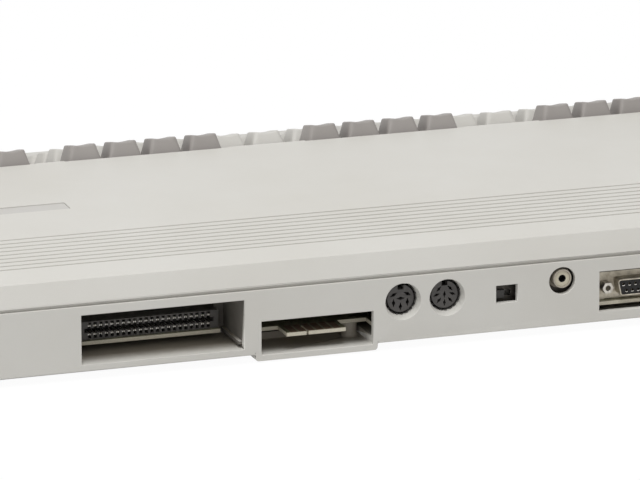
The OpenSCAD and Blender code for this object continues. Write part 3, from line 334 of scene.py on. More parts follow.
class Finish:
    """One material: a Principled shader whose colour, roughness and bump are layered step by step."""

    groups = {}

    def __init__(self, name, colour, rough, metallic=0.0, specular=0.5):
        self.mat = bpy.data.materials.new(name)
        self.mat.use_nodes = True
        self.tree = self.mat.node_tree
        self.shader = self.tree.nodes["Principled BSDF"]
        self.shader.inputs["Base Color"].default_value = srgb(colour)
        self.shader.inputs["Roughness"].default_value = rough
        self.shader.inputs["Metallic"].default_value = metallic
        self.shader.inputs["Specular IOR Level"].default_value = specular
        self.colour = srgb(colour)
        self.rough = rough

    def group(self, name, **values):
        """The outputs of one of the shader groups, with its inputs set by their names."""
        node = self.tree.nodes.new("ShaderNodeGroup")
        node.node_tree = Finish.groups[name]
        for label, value in values.items():
            node.inputs[label.replace("_", " ")].default_value = value
        return node.outputs

    def ramp(self, mask, low, high):
        """The mask stretched so that low becomes 0 and high becomes 1."""
        node = self.tree.nodes.new("ShaderNodeMapRange")
        node.inputs["From Min"].default_value = low
        node.inputs["From Max"].default_value = high
        self.tree.links.new(mask, node.inputs["Value"])
        return node.outputs["Result"]

    def tint(self, mask, colour, amount):
        """Mixes another colour in where the mask is high."""
        node = self.tree.nodes.new("ShaderNodeMix")
        node.data_type = "RGBA"
        factor = math_node(self.tree, "MULTIPLY", mask, amount, True)
        self.tree.links.new(factor, node.inputs[0])
        self.plug(self.colour, node.inputs[MIX_FIRST_COLOUR])
        node.inputs[MIX_SECOND_COLOUR].default_value = srgb(colour)
        self.colour = node.outputs[MIX_COLOUR]
        self.tree.links.new(self.colour, self.shader.inputs["Base Color"])

    def vary_rough(self, mask, amount):
        """Adds up to amount to the roughness where the mask is high."""
        added = math_node(self.tree, "MULTIPLY", mask, amount)
        self.rough = math_node(self.tree, "ADD", added, self.rough, True)
        self.tree.links.new(self.rough, self.shader.inputs["Roughness"])

    def bump(self, height, depth_mm, strength):
        node = self.tree.nodes.new("ShaderNodeBump")
        node.inputs["Distance"].default_value = depth_mm * MM
        node.inputs["Strength"].default_value = strength
        self.tree.links.new(height, node.inputs["Height"])
        self.tree.links.new(node.outputs["Normal"], self.shader.inputs["Normal"])

    def plug(self, value, socket):
        """Sets a socket to a colour, or links another node's output to it."""
        if isinstance(value, tuple):
            socket.default_value = value
        else:
            self.tree.links.new(value, socket)


def moulded_finish(name, colour, shade, highlight_colour, rough=0.46, grain=2.2, depth=0.012, dust=0.12, specular=0.5):
    """Grained moulded plastic with slow drift of tone, edges lightened as painted highlight and wear, and a
    little dust.
    """
    finish = Finish(name, colour, rough, specular=specular)
    texture = finish.group("moulded grain", Grain_per_mm=grain)
    finish.tint(finish.ramp(texture["Drift"], 0.35, 0.7), shade, 0.55)
    finish.tint(finish.ramp(texture["Height"], 0.9, 0.3), shade, 0.25)
    # Painted highlight along rounded edges, which also stands for wear
    finish.tint(finish.group("worn edge and painted highlight", Radius=0.5 * MM)["Edge"], highlight_colour, 0.5)
    finish.tint(finish.group("settled dust", Amount=dust)["Dust"], DUST_COLOUR, 1.0)
    finish.vary_rough(texture["Drift"], 0.12)
    finish.bump(texture["Height"], depth, 0.6)
    return finish


def moulded(*args, **values):
    """The material of a moulded finish."""
    return moulded_finish(*args, **values).mat


def case_inside_with_shade():
    """Case plastic darkened inside as painted shade, in cloudy patches, fading out towards the rear wall."""
    finish = moulded_finish("case inside with painted shade", "d5d3cd", "ccc9c1", "efede8")
    tree = finish.tree
    place = tree.nodes.new("ShaderNodeTexCoord").outputs["Object"]
    split = tree.nodes.new("ShaderNodeSeparateXYZ")
    tree.links.new(place, split.inputs[0])
    cloud = math_node(tree, "MULTIPLY", noise_node(tree, place, INSIDE_SHADE_CLOUDS_PER_M, 4, 0.6), INSIDE_SHADE_DRIFT * MM)
    depth = math_node(tree, "SUBTRACT", cloud, split.outputs["Y"])
    shaded_inside = finish.ramp(depth, (INSIDE_SHADE_F[0] - REAR_Y) * MM, (INSIDE_SHADE_F[1] - REAR_Y) * MM)
    finish.tint(shaded_inside, INSIDE_SHADE_COLOUR, 1.0)
    return finish.mat


def sheet_metal(name, colour, stain, rough, marks=3):
    """Plated sheet metal with drawing marks, stains, and edges lightened as bare metal and as painted
    highlight.
    """
    finish = Finish(name, colour, rough, metallic=1.0)
    texture = finish.group("drawn metal", Marks_per_mm=marks)
    finish.tint(finish.ramp(texture["Stain"], 0.42, 0.72), stain, 0.75)
    # Painted highlight along rounded edges, partly also bare worn metal
    finish.tint(finish.group("worn edge and painted highlight", Radius=0.3 * MM)["Edge"], BARE_METAL_AND_HIGHLIGHT, 0.6)
    finish.vary_rough(texture["Stain"], 0.25)
    finish.bump(texture["Height"], 0.006, 0.5)
    return finish.mat


def circuit_board(name, mask_colour, track_colour, fibre):
    """Solder mask over tracks, with the pale glass fibre showing on every cut edge."""
    finish = Finish(name, mask_colour, 0.38)
    tree = finish.tree
    place = tree.nodes.new("ShaderNodeTexCoord").outputs["Object"]
    split = tree.nodes.new("ShaderNodeSeparateXYZ")
    tree.links.new(place, split.inputs[0])
    bend = math_node(tree, "MULTIPLY", noise_node(tree, place, BENDS_PER_M, 1, 0.3), TRACK_BEND * MM)
    across = math_node(tree, "ADD", split.outputs["X"], bend)
    stripes = math_node(tree, "FRACT", math_node(tree, "MULTIPLY", across, TRACKS_PER_M))
    tracks = finish.ramp(stripes, *TRACK_SHARE)
    finish.tint(tracks, track_colour, 0.6)
    grain = finish.group("moulded grain", Grain_per_mm=4)
    finish.tint(finish.ramp(grain["Drift"], 0.4, 0.7), fibre, 0.2)
    geometry = tree.nodes.new("ShaderNodeNewGeometry")
    turn = tree.nodes.new("ShaderNodeSeparateXYZ")
    tree.links.new(geometry.outputs["True Normal"], turn.inputs[0])
    flat = math_node(tree, "ABSOLUTE", turn.outputs["Z"])
    cut = finish.ramp(flat, 0.6, 0.4)
    finish.tint(cut, fibre, 1.0)
    speckle = finish.ramp(grain["Height"], 0.75, 0.45)
    finish.tint(math_node(tree, "MULTIPLY", cut, speckle), FIBRE_SPECKLE, 0.7)
    finish.vary_rough(cut, 0.4)
    finish.bump(math_node(tree, "MULTIPLY", tracks, 0.5), 0.03, 0.6)
    return finish.mat


def make_materials():
    """The shader groups, and every finish by its name."""
    Finish.groups = {
        "moulded grain": moulded_grain_group(),
        "worn edge and painted highlight": edge_wear_and_highlight_group(),
        "settled dust": settled_dust_group(),
        "drawn metal": drawn_metal_group(),
    }
    return {
        "case": moulded("case plastic", "d5d3cd", "ccc9c1", "efede8"),
        "light key": moulded("light key plastic", "d2d0cb", "c5c2bb", "ecebe7", rough=0.5, grain=3),
        "dark key": moulded("dark key plastic", "9d9894", "8d8783", "c3bfbb", rough=0.5, grain=3),
        "case inside with painted shade": case_inside_with_shade(),
        # Darker case plastic in the grooves: painted shade
        "groove": moulded("case plastic darkened as groove shade", "b3b0a9", "a6a39b", "cfccc5", dust=0.02),
        "black": moulded("black plastic", "1e1d1c", "171615", "45433f", rough=0.5, dust=0.04, specular=0.3),
        "socket": moulded("socket plastic", "4d4a48", "3f3d3b", "6b6864", rough=0.45, dust=0.05),
        # A mid grey that stands for shade, on the walls of the cartridge guide and behind the channel switch
        "shade grey": moulded("grey paint for shade", "77736d", "67635d", "8f8b85", rough=0.6, grain=1.5,
                            dust=0),
        "connector": moulded("connector plastic", "4d4a47", "413f3c", "6b6864", rough=0.45, dust=0.02),
        "lamp": moulded("red lamp lens", "7d2722", "6a1e1a", "b0645c", rough=0.22, depth=0.003, dust=0.05),
        "rubber": moulded("rubber", "2a2928", "201f1e", "4a4846", rough=0.75, grain=1.2),
        "plate": moulded("nameplate metal", "c4c1bc", "b6b3ad", "e0deda", rough=0.32, grain=5, depth=0.004),
        "nickel": sheet_metal("nickel plate", "c9c5bc", "8a8276", 0.3),
        "tin": sheet_metal("tinned steel", "a8a39a", "6d655a", 0.38),
        "gold": sheet_metal("gold plate", "d9bd86", "a98b55", 0.28),
        "copper": sheet_metal("oxidised copper", "8f7868", "6a5d4a", 0.55),
        # The modulator can in a darker grey than the tin: painted shade where it shows through the openings
        "can": sheet_metal("tinplate darkened as shade", "57534e", "34302b", 0.5),
        "zinc": sheet_metal("passivated zinc", "c2bbac", "857c6d", 0.42, marks=2),
        "contact": sheet_metal("tinned contact", "efece6", "cfcabf", 0.45),
        "slider": moulded("slider plastic", "3f3d3b", "302e2c", "5f5c59", rough=0.5, dust=0.02),
        "sleeve": moulded("dulled nickel sleeve", "b5ad9e", "968e80", "d9d3c6", rough=0.55, grain=3,
                          dust=0),
        "cream": moulded("cream insulator", "cfc8b4", "bdb59f", "e2dccb", rough=0.4, grain=4, depth=0.006),
        "board": circuit_board("circuit board", "7d7d62", "8f8c70", "d3cdbb"),
    }


make_studio()
finishes = make_materials()


# ---------------------------------------------------------------- mesh helpers
# Points nearer to each other than this are one point, in a node's shape and in a shape made here
WELD = 0.08
SLAB_WELD = 0.001
# A face counts as level or as a side wall when its normal is this near to z or x
SQUARE = 0.9999
# Faces that meet at less than this many degrees are one face
FLAT = 0.6
# Edges that turn by more than this many degrees are sharp
SHARP = 32
# How many steps a rounded edge has
SEGMENTS = 2


def add_piece(name, mesh, finish, replaces=(), body=BODY):
    """Links a finished mesh as a piece of the object that rides on a body."""
    piece = bpy.data.objects.new(name, mesh)
    bpy.context.scene.collection.objects.link(piece)
    mesh.materials.clear()
    mesh.materials.append(finishes[finish])
    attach(piece, body)
    if replaces:
        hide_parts(*replaces)
    return piece


def smooth(mesh, angle):
    """Smooth shading with sharp edges kept, so that flat faces stay flat beside rounded ones."""
    mesh.polygons.foreach_set("use_smooth", [True] * len(mesh.polygons))
    mesh.set_sharp_from_angle(angle=math.radians(angle))


def clean_copy(node):
    """A bmesh of a node's shape, with its flat faces made whole again, apart from level ones and side walls.

    Those can have many holes, and one face with many holes fills badly, so they keep their triangles.
    """
    bm = bmesh.new()
    bm.from_mesh(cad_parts[node].data)
    bmesh.ops.remove_doubles(bm, verts=bm.verts, dist=WELD * MM)
    edges = [e for e in bm.edges
             if not all(max(abs(f.normal.x), abs(f.normal.z)) > SQUARE for f in e.link_faces)]
    bmesh.ops.dissolve_limit(bm, angle_limit=math.radians(FLAT), verts=[], edges=edges)
    return bm


def soften(name, node, finish, radius, paints=()):
    """Replaces a node by the same shape with rounded edges.

    radius is a size, or a function that gives one, or 0, for an edge. paints are further finishes as
    (finish, test); a face takes the first whose test it passes.
    """
    bm = clean_copy(node)
    edges = [e for e in bm.edges if e.is_manifold and e.calc_face_angle() > math.radians(SHARP)]
    sizes = {e.index: (radius(e) if callable(radius) else radius) for e in edges}
    widest = max(sizes.values())
    mesh = bpy.data.meshes.new(name)
    painted = [next((i + 1 for i, paint in enumerate(paints) if paint[1](face)), 0) for face in bm.faces]
    bm.to_mesh(mesh)
    bm.free()
    weights = mesh.attributes.new("bevel_weight_edge", "FLOAT", "EDGE")
    values = [0.0] * len(mesh.edges)
    sharp = [False] * len(mesh.edges)
    for index, size in sizes.items():
        values[index] = size / widest
        sharp[index] = size == 0
    weights.data.foreach_set("value", values)
    mesh.polygons.foreach_set("use_smooth", [True] * len(mesh.polygons))
    mesh.attributes.new("sharp_edge", "BOOLEAN", "EDGE").data.foreach_set("value", sharp)
    piece = add_piece(name, mesh, finish, (node,))
    for paint in paints:
        mesh.materials.append(finishes[paint[0]])
    mesh.polygons.foreach_set("material_index", painted)
    bevel = piece.modifiers.new("rounded edges", "BEVEL")
    bevel.limit_method = "WEIGHT"
    bevel.width = widest * MM
    bevel.segments = SEGMENTS
    bevel.use_clamp_overlap = False
    bevel.miter_outer = "MITER_ARC"
    normals = piece.modifiers.new("flat faces", "WEIGHTED_NORMAL")
    normals.keep_sharp = True
    depsgraph = bpy.context.evaluated_depsgraph_get()
    rounded = bpy.data.meshes.new_from_object(piece.evaluated_get(depsgraph), depsgraph=depsgraph)
    piece.modifiers.clear()
    piece.data = rounded
    low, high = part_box(node)
    for vertex in rounded.vertices:
        vertex.co = [min(max(c, a), b) for c, a, b in zip(vertex.co, low, high)]


def dress(node, finish):
    """Gives a node of the frame its material."""
    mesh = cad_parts[node].data
    mesh.materials.clear()
    mesh.materials.append(finishes[finish])


# ---------------------------------------------------------------- case
# A point this near to an outer face lies on it
OUTSIDE = 0.1
# Thickness of the walls, and how far above the inner side of the lid a face still counts as inside
WALL = 2.5
WALL_MARGIN = 0.4
# Rounding of the lower case: openings, outer edges, the bumps below the edge connectors, round holes
HOLE_ROUND = 0.3
SIDE_ROUND = 1.2
BUMP_ROUND = 0.5
ROUND_HOLE_ROUND = 0.28
# Rounding of the lid: outer edges, upper edges and key openings, ends of the grooves
LID_EDGE = 0.3
KEY_WELL_ROUND = 0.5
GROOVE_ROUND = 0.12
# The bumps reach down from the underside, near the rear face
UNDERSIDE = 4.5
BUMP_F = 26
# The openings of the right-hand side lie behind this and between these heights
SIDE_OPENINGS_F = 165
SIDE_OPENINGS_Z = (5.5, 30)
# Height of the seam at the rear, and its gap
SEAM_Z = 32.3
SEAM_GAP = 1.4
# The lip along the front edge starts about here
FRONT_LIP_F = 324.5
# Where the deck ends and the bezel starts, the height there, and the fall to the rear and to the front
DECK_F = 172
DECK_H = 49.895
DECK_FALL = 2
BEZEL_FALL = 15.3
# The edges of the key openings start at most this far behind the bezel
BEZEL_MARGIN = 2
# Where the grooves of the deck lie, and how deep below it their faces are
GROOVES_F = (22, 66)
GROOVES_DEEP = (0.1, 1)
# The cartridge guide, the height above which its walls are painted, and the height of its roof
GUIDE_X = (75, 153)
GUIDE_F = (2.6, 32)
GUIDE_WALL_Z = 6.6
GUIDE_ROOF_Z = 20
# Centres of the round sockets, and the radius of their holes in the case
ROUND_X = (5.6, -14.6)
ROUND_HOLE_Z = 21.1
ROUND_HOLE_R = 8.1
# How far from that radius the points of its polygon may lie
ROUND_HOLE_PLAY = 0.3
# A face looks up when its normal's z is over the first value, and it is a wall when z is within the second
FACES_UP = 0.8
UPRIGHT = 0.5


def mm(point):
    """A point as [x, distance forward from the rear face, z], in millimetres."""
    return Vector((point.x / MM, REAR_Y - point.y / MM, point.z / MM))


def rounding_of_case(edge):
    """How far an edge of the lower case is rounded off."""
    a, b = mm(edge.verts[0].co), mm(edge.verts[1].co)
    middle = (a + b) / 2
    at_rear = max(a.y, b.y) < OUTSIDE
    at_front = min(a.y, b.y) > 2 * REAR_Y - OUTSIDE
    at_side = min(abs(a.x), abs(b.x)) > CASE_X - OUTSIDE and a.x * b.x > 0
    upright = [abs(f.normal.z) < UPRIGHT for f in edge.link_faces]
    off_centre = min(math.hypot(middle.x - x, middle.z - ROUND_HOLE_Z) for x in ROUND_X)
    if at_rear and off_centre < ROUND_HOLE_R + ROUND_HOLE_PLAY:
        return ROUND_HOLE_ROUND
    if at_rear or at_front:
        return HOLE_ROUND
    if at_side:
        in_opening = (max(a.y, b.y) < SIDE_OPENINGS_F
                      and SIDE_OPENINGS_Z[0] < min(a.z, b.z) and max(a.z, b.z) < SIDE_OPENINGS_Z[1])
        return HOLE_ROUND if all(upright) or in_opening else SIDE_ROUND
    if middle.z < UNDERSIDE and middle.y < BUMP_F:
        return BUMP_ROUND
    return 0


def rounding_of_lid(edge):
    """How far an edge of the upper case is rounded off."""
    a, b = mm(edge.verts[0].co), mm(edge.verts[1].co)
    low = min(a.z, b.z) < SEAM_Z + SEAM_GAP + OUTSIDE
    at_ends = min(abs(a.x), abs(b.x)) > CASE_X - OUTSIDE
    outside = ((at_ends and a.x * b.x > 0) or max(a.y, b.y) < OUTSIDE
               or min(a.y, b.y) > 2 * REAR_Y - OUTSIDE)
    faces_up = any(f.normal.z > FACES_UP for f in edge.link_faces)
    at_lip = max(a.y, b.y) > FRONT_LIP_F
    if at_ends and GROOVES_F[0] < a.y < GROOVES_F[1] and GROOVES_F[0] < b.y < GROOVES_F[1]:
        return GROOVE_ROUND
    if outside:
        return LID_EDGE if low or at_lip or not faces_up else KEY_WELL_ROUND
    if faces_up and min(a.y, b.y) > DECK_F - BEZEL_MARGIN:
        return LID_EDGE if at_lip else KEY_WELL_ROUND
    return 0


def in_guide(face):
    """Standing faces of the cartridge guide, which carry the grey painted shade."""
    at = mm(face.calc_center_median())
    return (GUIDE_X[0] < at.x < GUIDE_X[1] and GUIDE_F[0] < at.y < GUIDE_F[1]
            and at.z > GUIDE_WALL_Z and abs(face.normal.z) < UPRIGHT)


def in_guide_roof(face):
    """The roof of the cartridge guide, which is left without painted shade."""
    at = mm(face.calc_center_median())
    return (GUIDE_X[0] < at.x < GUIDE_X[1] and GUIDE_F[0] < at.y < GUIDE_F[1]
            and at.z > GUIDE_ROOF_Z and face.normal.z < -UPRIGHT)


def in_case(face):
    """Faces inside the case, whose painted shade starts a little way in."""
    at = mm(face.calc_center_median())
    if at.z < UNDERSIDE and face.normal.z < UPRIGHT:
        return False
    return abs(at.x) < CASE_X - WALL + OUTSIDE and WALL - OUTSIDE < at.y < 2 * REAR_Y - WALL + OUTSIDE


def below_deck(at):
    """How far a point lies below the outside of the deck or of the bezel."""
    fall = DECK_FALL if at.y < DECK_F else -BEZEL_FALL
    return DECK_H - (DECK_F - at.y) * math.tan(math.radians(fall)) - at.z


def in_lid(face):
    """Faces on the inner side of the upper case."""
    return in_case(face) and below_deck(mm(face.calc_center_median())) > WALL - WALL_MARGIN


def in_groove(face):
    """Walls and floors of the grooves across the deck, darkened as painted shade."""
    at = mm(face.calc_center_median())
    return GROOVES_F[0] < at.y < GROOVES_F[1] and GROOVES_DEEP[0] < below_deck(at) < GROOVES_DEEP[1]


def make_case():
    # Painted shade: the inside of the case is darkened, and the standing walls of the cartridge guide are
    # grey
    soften("lower_shell", "bottom_case", "case", rounding_of_case,
           (("shade grey", in_guide), ("case", in_guide_roof), ("case inside with painted shade", in_case)))
    soften("upper_shell", "top_case", "case", rounding_of_lid,
           (("case inside with painted shade", in_lid), ("groove", in_groove)))


# ---------------------------------------------------------------- flat shapes
def circle(x, z, radius, count=64):
    """The points [x, z] of a circle."""
    turns = [2 * math.pi * i / count for i in range(count)]
    return [(x + radius * math.sin(a), z + radius * math.cos(a)) for a in turns]


def arc(x, z, radius, start, end, steps=4):
    """Points on a circle between two turns from the top, in radians."""
    turns = [start + (end - start) * i / steps for i in range(steps + 1)]
    return [(x + radius * math.sin(a), z + radius * math.cos(a)) for a in turns]


def rectangle(x0, x1, z0, z1):
    return [(x0, z0), (x1, z0), (x1, z1), (x0, z1)]


def turned(outline, x, z, degrees):
    """An outline drawn around [0, 0], turned clockwise as seen from the user's side and moved to [x, z]."""
    c, s = math.cos(math.radians(degrees)), math.sin(math.radians(degrees))
    return [(x + a * c + b * s, z - a * s + b * c) for a, b in outline]


def slab(outlines, f0, f1, chamfer=0.0):
    """A plate between two distances from the rear face; outlines inside the first one are holes."""
    curve = bpy.data.curves.new("outline", "CURVE")
    curve.dimensions = "2D"
    curve.fill_mode = "BOTH"
    curve.extrude = (f1 - f0) / 2 - chamfer
    curve.bevel_depth = chamfer
    curve.bevel_resolution = 1
    curve.offset = -chamfer
    for outline in outlines:
        spline = curve.splines.new("POLY")
        spline.points.add(len(outline) - 1)
        for point, (x, z) in zip(spline.points, outline):
            point.co = (x, z, 0, 1)
        spline.use_cyclic_u = True
    holder = bpy.data.objects.new("outline", curve)
    mesh = bpy.data.meshes.new_from_object(holder)
    bpy.data.objects.remove(holder)
    bpy.data.curves.remove(curve)
    mesh.transform(Matrix.Scale(MM, 4) @ Matrix.Translation((0, REAR_Y - (f0 + f1) / 2, 0))
                   @ Matrix.Rotation(math.radians(90), 4, "X"))
    return mesh


def add_slabs(name, slabs, finish, replaces=()):
    """One piece from several plates."""
    bm = bmesh.new()
    for mesh in slabs:
        bm.from_mesh(mesh)
        bpy.data.meshes.remove(mesh)
    bmesh.ops.remove_doubles(bm, verts=bm.verts, dist=SLAB_WELD * MM)
    joined = bpy.data.meshes.new(name)
    bm.to_mesh(joined)
    bm.free()
    smooth(joined, SHARP)
    add_piece(name, joined, finish, replaces)


# ---------------------------------------------------------------- round sockets
# The face: height of its middle, where it starts and ends, its radius, and the sides of its outline
SOCKET_Z = 21.6
SOCKET_FACE_F = (3.6, 9)
SOCKET_FACE_R = 6.05
SOCKET_SIDES = 72
# The block behind it: half its width, its height range, its pocket's start, floor and play, and its end
BLOCK_HALF_W = 8.8
BLOCK_Z = (11.4, 30.6)
POCKET_F = (8, 12)
POCKET_PLAY = 0.05
BLOCK_END_F = 24
# The metal ring: its teeth start at the first value and join the closed part at the second
RING_F = (3.2, 8.5)
RING_R = 7
RING_IN_R = 6.65
TOOTH_N = 18
# Share of the ring that each tooth takes, against the gap beside it
TOOTH_SHARE = 0.44
# The circle on which the holes lie, and the key notch
PIN_CIRCLE_R = 3.65
NOTCH_W = 2.7
NOTCH_H = 2.1
# A contact opening: a small hole with a slit to both sides, drawn with the slit upright
PIN_SHAPE = [(0.16, 1.9), (0.4, 0.85), (0.75, 0.4), (0.75, -0.4), (0.4, -0.85), (0.16, -1.9),
             (-0.16, -1.9), (-0.4, -0.85), (-0.75, -0.4), (-0.75, 0.4), (-0.4, 0.85), (-0.16, 1.9)]
# Holes as (turn from the top, turn of the slit), in degrees; MIDDLE is the hole in the middle
MIDDLE = -1
SERIAL_HOLES = ((MIDDLE, 90), (60, 118), (-60, -118), (120, 0), (-120, 0), (180, 0))
VIDEO_HOLES = ((MIDDLE, 0), (45, 135), (-45, -135), (90, 110), (-90, -110), (135, 138), (-135, -138),
               (180, 0))
# Size of the holes against PIN_SHAPE
SERIAL_PIN = 0.95
VIDEO_PIN = 0.8


def make_round_socket(name, node, x, holes, size):
    """A round socket: a face with slit contact holes and a key notch, on a block."""
    edge = math.asin(NOTCH_W / 2 / SOCKET_FACE_R)
    face = arc(x, SOCKET_Z, SOCKET_FACE_R, edge, 2 * math.pi - edge, SOCKET_SIDES)
    floor = SOCKET_Z + SOCKET_FACE_R - NOTCH_H
    face += [(x - NOTCH_W / 2, floor), (x + NOTCH_W / 2, floor)]
    outlines = [face]
    for turn, slit in holes:
        r = 0 if turn == MIDDLE else PIN_CIRCLE_R
        a = math.radians(turn)
        shape = [(size * px, size * pz) for px, pz in PIN_SHAPE]
        outlines.append(turned(shape, x - r * math.sin(a), SOCKET_Z + r * math.cos(a), -slit))
    add_slabs(name + "_face", [slab(outlines, *SOCKET_FACE_F)], "socket")
    block = rectangle(x - BLOCK_HALF_W, x + BLOCK_HALF_W, *BLOCK_Z)
    pocket = slab([block, circle(x, SOCKET_Z, RING_R + POCKET_PLAY)], *POCKET_F)
    core = slab([circle(x, SOCKET_Z, SOCKET_FACE_R)], SOCKET_FACE_F[1], POCKET_F[1])
    solid = slab([block], POCKET_F[1], BLOCK_END_F)
    add_slabs(name + "_block", [pocket, core, solid], "black", (node,))


def make_socket_rings():
    """Sheet metal rings with teeth around both round sockets."""
    slabs = []
    step = 2 * math.pi / TOOTH_N
    for x in ROUND_X:
        for i in range(TOOTH_N):
            start, end = step * i, step * (i + TOOTH_SHARE)
            tooth = arc(x, SOCKET_Z, RING_R, start, end) + arc(x, SOCKET_Z, RING_IN_R, end, start)
            slabs.append(slab([tooth], *RING_F))
        foot = [circle(x, SOCKET_Z, radius, SOCKET_SIDES) for radius in (RING_R, RING_IN_R)]
        slabs.append(slab(foot, RING_F[1], POCKET_F[1]))
    add_slabs("socket_ring", slabs, "slider", ("socket_rings",))


# ---------------------------------------------------------------- edge connectors
# Cartridge slot: its middle, its contacts, and how far their rows lie from the middle
SLOT_X = 114
SLOT_MID_Z = 15.5
SLOT_FACE_F = 19.9
SLOT_N = 22
SLOT_PITCH = 2.54
CONTACT_Z = 1.9
# One of a contact's two prongs: its sides from the middle, half its height, its ends from the face
PRONG_X = (0.18, 0.62)
PRONG_HALF_H = 0.3
PRONG_F = (0.4, 7.5)
PRONG_CHAMFER = 0.1
# Board tongues as (middle, number of pads), and one pad: half its width, its thickness, its ends
TONGUES = ((44.4, 6), (-162.5, 12))
EDGE_PITCH = 3.96
PAD_HALF_W = 1.55
PAD_T = 0.04
PAD_F = (2.5, 13.4)
BOARD_TOP = 11.4
BOARD_T = 1.6


def make_slot_contacts():
    """Forked spring contacts of the cartridge slot, in two rows of twenty-two."""
    slabs = []
    for i in range(SLOT_N):
        x = SLOT_X + (i - (SLOT_N - 1) / 2) * SLOT_PITCH
        for z in (SLOT_MID_Z - CONTACT_Z, SLOT_MID_Z + CONTACT_Z):
            for side in (-1, 1):
                near, far = sorted((x + side * PRONG_X[0], x + side * PRONG_X[1]))
                prong = rectangle(near, far, z - PRONG_HALF_H, z + PRONG_HALF_H)
                slabs.append(slab([prong], SLOT_FACE_F + PRONG_F[0], SLOT_FACE_F + PRONG_F[1], PRONG_CHAMFER))
    add_slabs("slot_contact_forks", slabs, "contact", ("slot_contacts",))


def make_edge_contacts():
    """Contact pads on both faces of the two board tongues."""
    slabs = []
    for x, count in TONGUES:
        for i in range(count):
            middle = x + (i - (count - 1) / 2) * EDGE_PITCH
            for z in (BOARD_TOP, BOARD_TOP - BOARD_T - PAD_T):
                pad = rectangle(middle - PAD_HALF_W, middle + PAD_HALF_W, z, z + PAD_T)
                slabs.append(slab([pad], *PAD_F))
    add_slabs("edge_contact_pads", slabs, "copper")


# ---------------------------------------------------------------- phono jack, switch and monitor connector
# The phono jack's middle, the radius of its hole, and the depth from which the hole's walls are painted black
# as shade
JACK_X = -68
JACK_Z = 24.5
JACK_HOLE_R = 1.75
JACK_SHADE_F = 0.85
# Middle of the channel switch, half the sides of its body, and the room of that body behind the slider
CHANNEL_X = -42.1
CHANNEL_Z = 19.2
SWITCH_HALF = (4.6, 2.4)
SWITCH_BODY_F = (9, 10)
# The monitor connector: its middle, its face, half the gap between its rows, and the pitch of its contacts
MONITOR_X = -102.6
MONITOR_Z = 17.7
MONITOR_FACE_F = 1.4
D_ROW = 1.42
D_PITCH = 2.77
D_ROWS = ((5, MONITOR_Z + D_ROW), (4, MONITOR_Z - D_ROW))
# A spring contact: outer and inner radius, sides, start behind the face, and end
SPRING_R = (0.56, 0.36)
SPRING_SIDES = 20
SPRING_START = 1.6
SPRING_END_F = 6
# The painted highlight on the lower lip of a hole: inner and outer radius, the turns between which it shines,
# and its depth at the face
LIP_R = (0.62, 0.8)
LIP_TURNS = (math.radians(130), math.radians(230))
LIP_DEPTH = (-0.03, 0.3)


def in_jack_hole_shade(face):
    """Faces of the hole in the phono jack, painted black as shade."""
    at = mm(face.calc_center_median())
    return math.hypot(at.x - JACK_X, at.z - JACK_Z) < JACK_HOLE_R and at.y > JACK_SHADE_F


def make_jack():
    soften("phono_insulator", "phono_core", "cream", radius=0.15,
           paints=(("black", in_jack_hole_shade),))
    soften("phono_sleeve", "phono_ring", "sleeve", radius=0.12)


def make_switch_body():
    """The body of the channel switch behind the slot of its slider: a grey plate that stands for the shade
    seen through the window.
    """
    half_w, half_h = SWITCH_HALF
    body = rectangle(CHANNEL_X - half_w, CHANNEL_X + half_w, CHANNEL_Z - half_h, CHANNEL_Z + half_h)
    add_slabs("channel_switch_body", [slab([body], *SWITCH_BODY_F)], "shade grey")


def make_monitor_connector():
    """The monitor connector: spring contacts in its nine holes, and a painted highlight on the lower lip of
    each hole.
    """
    slabs, lips = [], []
    for count, z in D_ROWS:
        for i in range(count):
            x = MONITOR_X + (i - (count - 1) / 2) * D_PITCH
            tube = [circle(x, z, radius, SPRING_SIDES) for radius in SPRING_R]
            slabs.append(slab(tube, MONITOR_FACE_F + SPRING_START, SPRING_END_F))
            lip = arc(x, z, LIP_R[1], *LIP_TURNS) + arc(x, z, LIP_R[0], *LIP_TURNS[::-1])
            lips.append(slab([lip], MONITOR_FACE_F + LIP_DEPTH[0], MONITOR_FACE_F + LIP_DEPTH[1]))
    add_slabs("monitor_contacts", slabs, "gold")
    # Bright contact metal on the lower lip of each hole: a painted highlight
    add_slabs("monitor_hole_glints", lips, "contact")
    soften("monitor_connector_shell", "monitor_shell", "zinc", radius=0.15)
    soften("monitor_jack_posts", "jack_posts", "nickel", radius=0.2)


# ---------------------------------------------------------------- keys
# The keyboard: pitch and gap of the caps, the step behind the first row, the slope, and where it lies
PITCH = 19.05
CAP_GAP = 0.95
ROW_GAP = 5.45
TILT = 14
KEYS_F = 171.2
KEYS_Z = 44.895
KEYS_SHIFT = -2.65
# The main block is 16 units wide, and the keypad stands beside it with 4
MAIN_UNITS = 16
PAD_UNITS = 4
PAD_GAP = 14.3
KEYS_X = -((MAIN_UNITS + PAD_UNITS) * PITCH + PAD_GAP) / 2
PAD_X = KEYS_X + MAIN_UNITS * PITCH + PAD_GAP
# Height of the caps of each row, from the top row to the space bar
ROW_H = [11.9, 10.4, 8.7, 7.6, 7.6, 8.2]
# One cap: sizes at the foot and at the top, set-back of the rear side, wall, and depth of the dish
CAP_BASE = PITCH - CAP_GAP
CAP_TOP = 11.9
REAR_INSET = 2
CAP_WALL = 1.3
DISH = 0.75
# Corner radius at the foot and at the top, and the rounding of the shoulder
CAP_FOOT_R = 1.0
CAP_HEAD_R = 2.0
SHOULDER = 0.8
# Edges of a cap that turn by more than this many degrees are sharp
CAP_SHARP = 40
# Where the rings of points of a cap lie: shares of the sides, turns of the shoulder, sizes on the top
SIDE_SHARES = (0.04, 0.5)
SHOULDER_TURNS = (0, 30, 60, 90)
TOP_SHARES = (0.8, 0.5, 0.2)
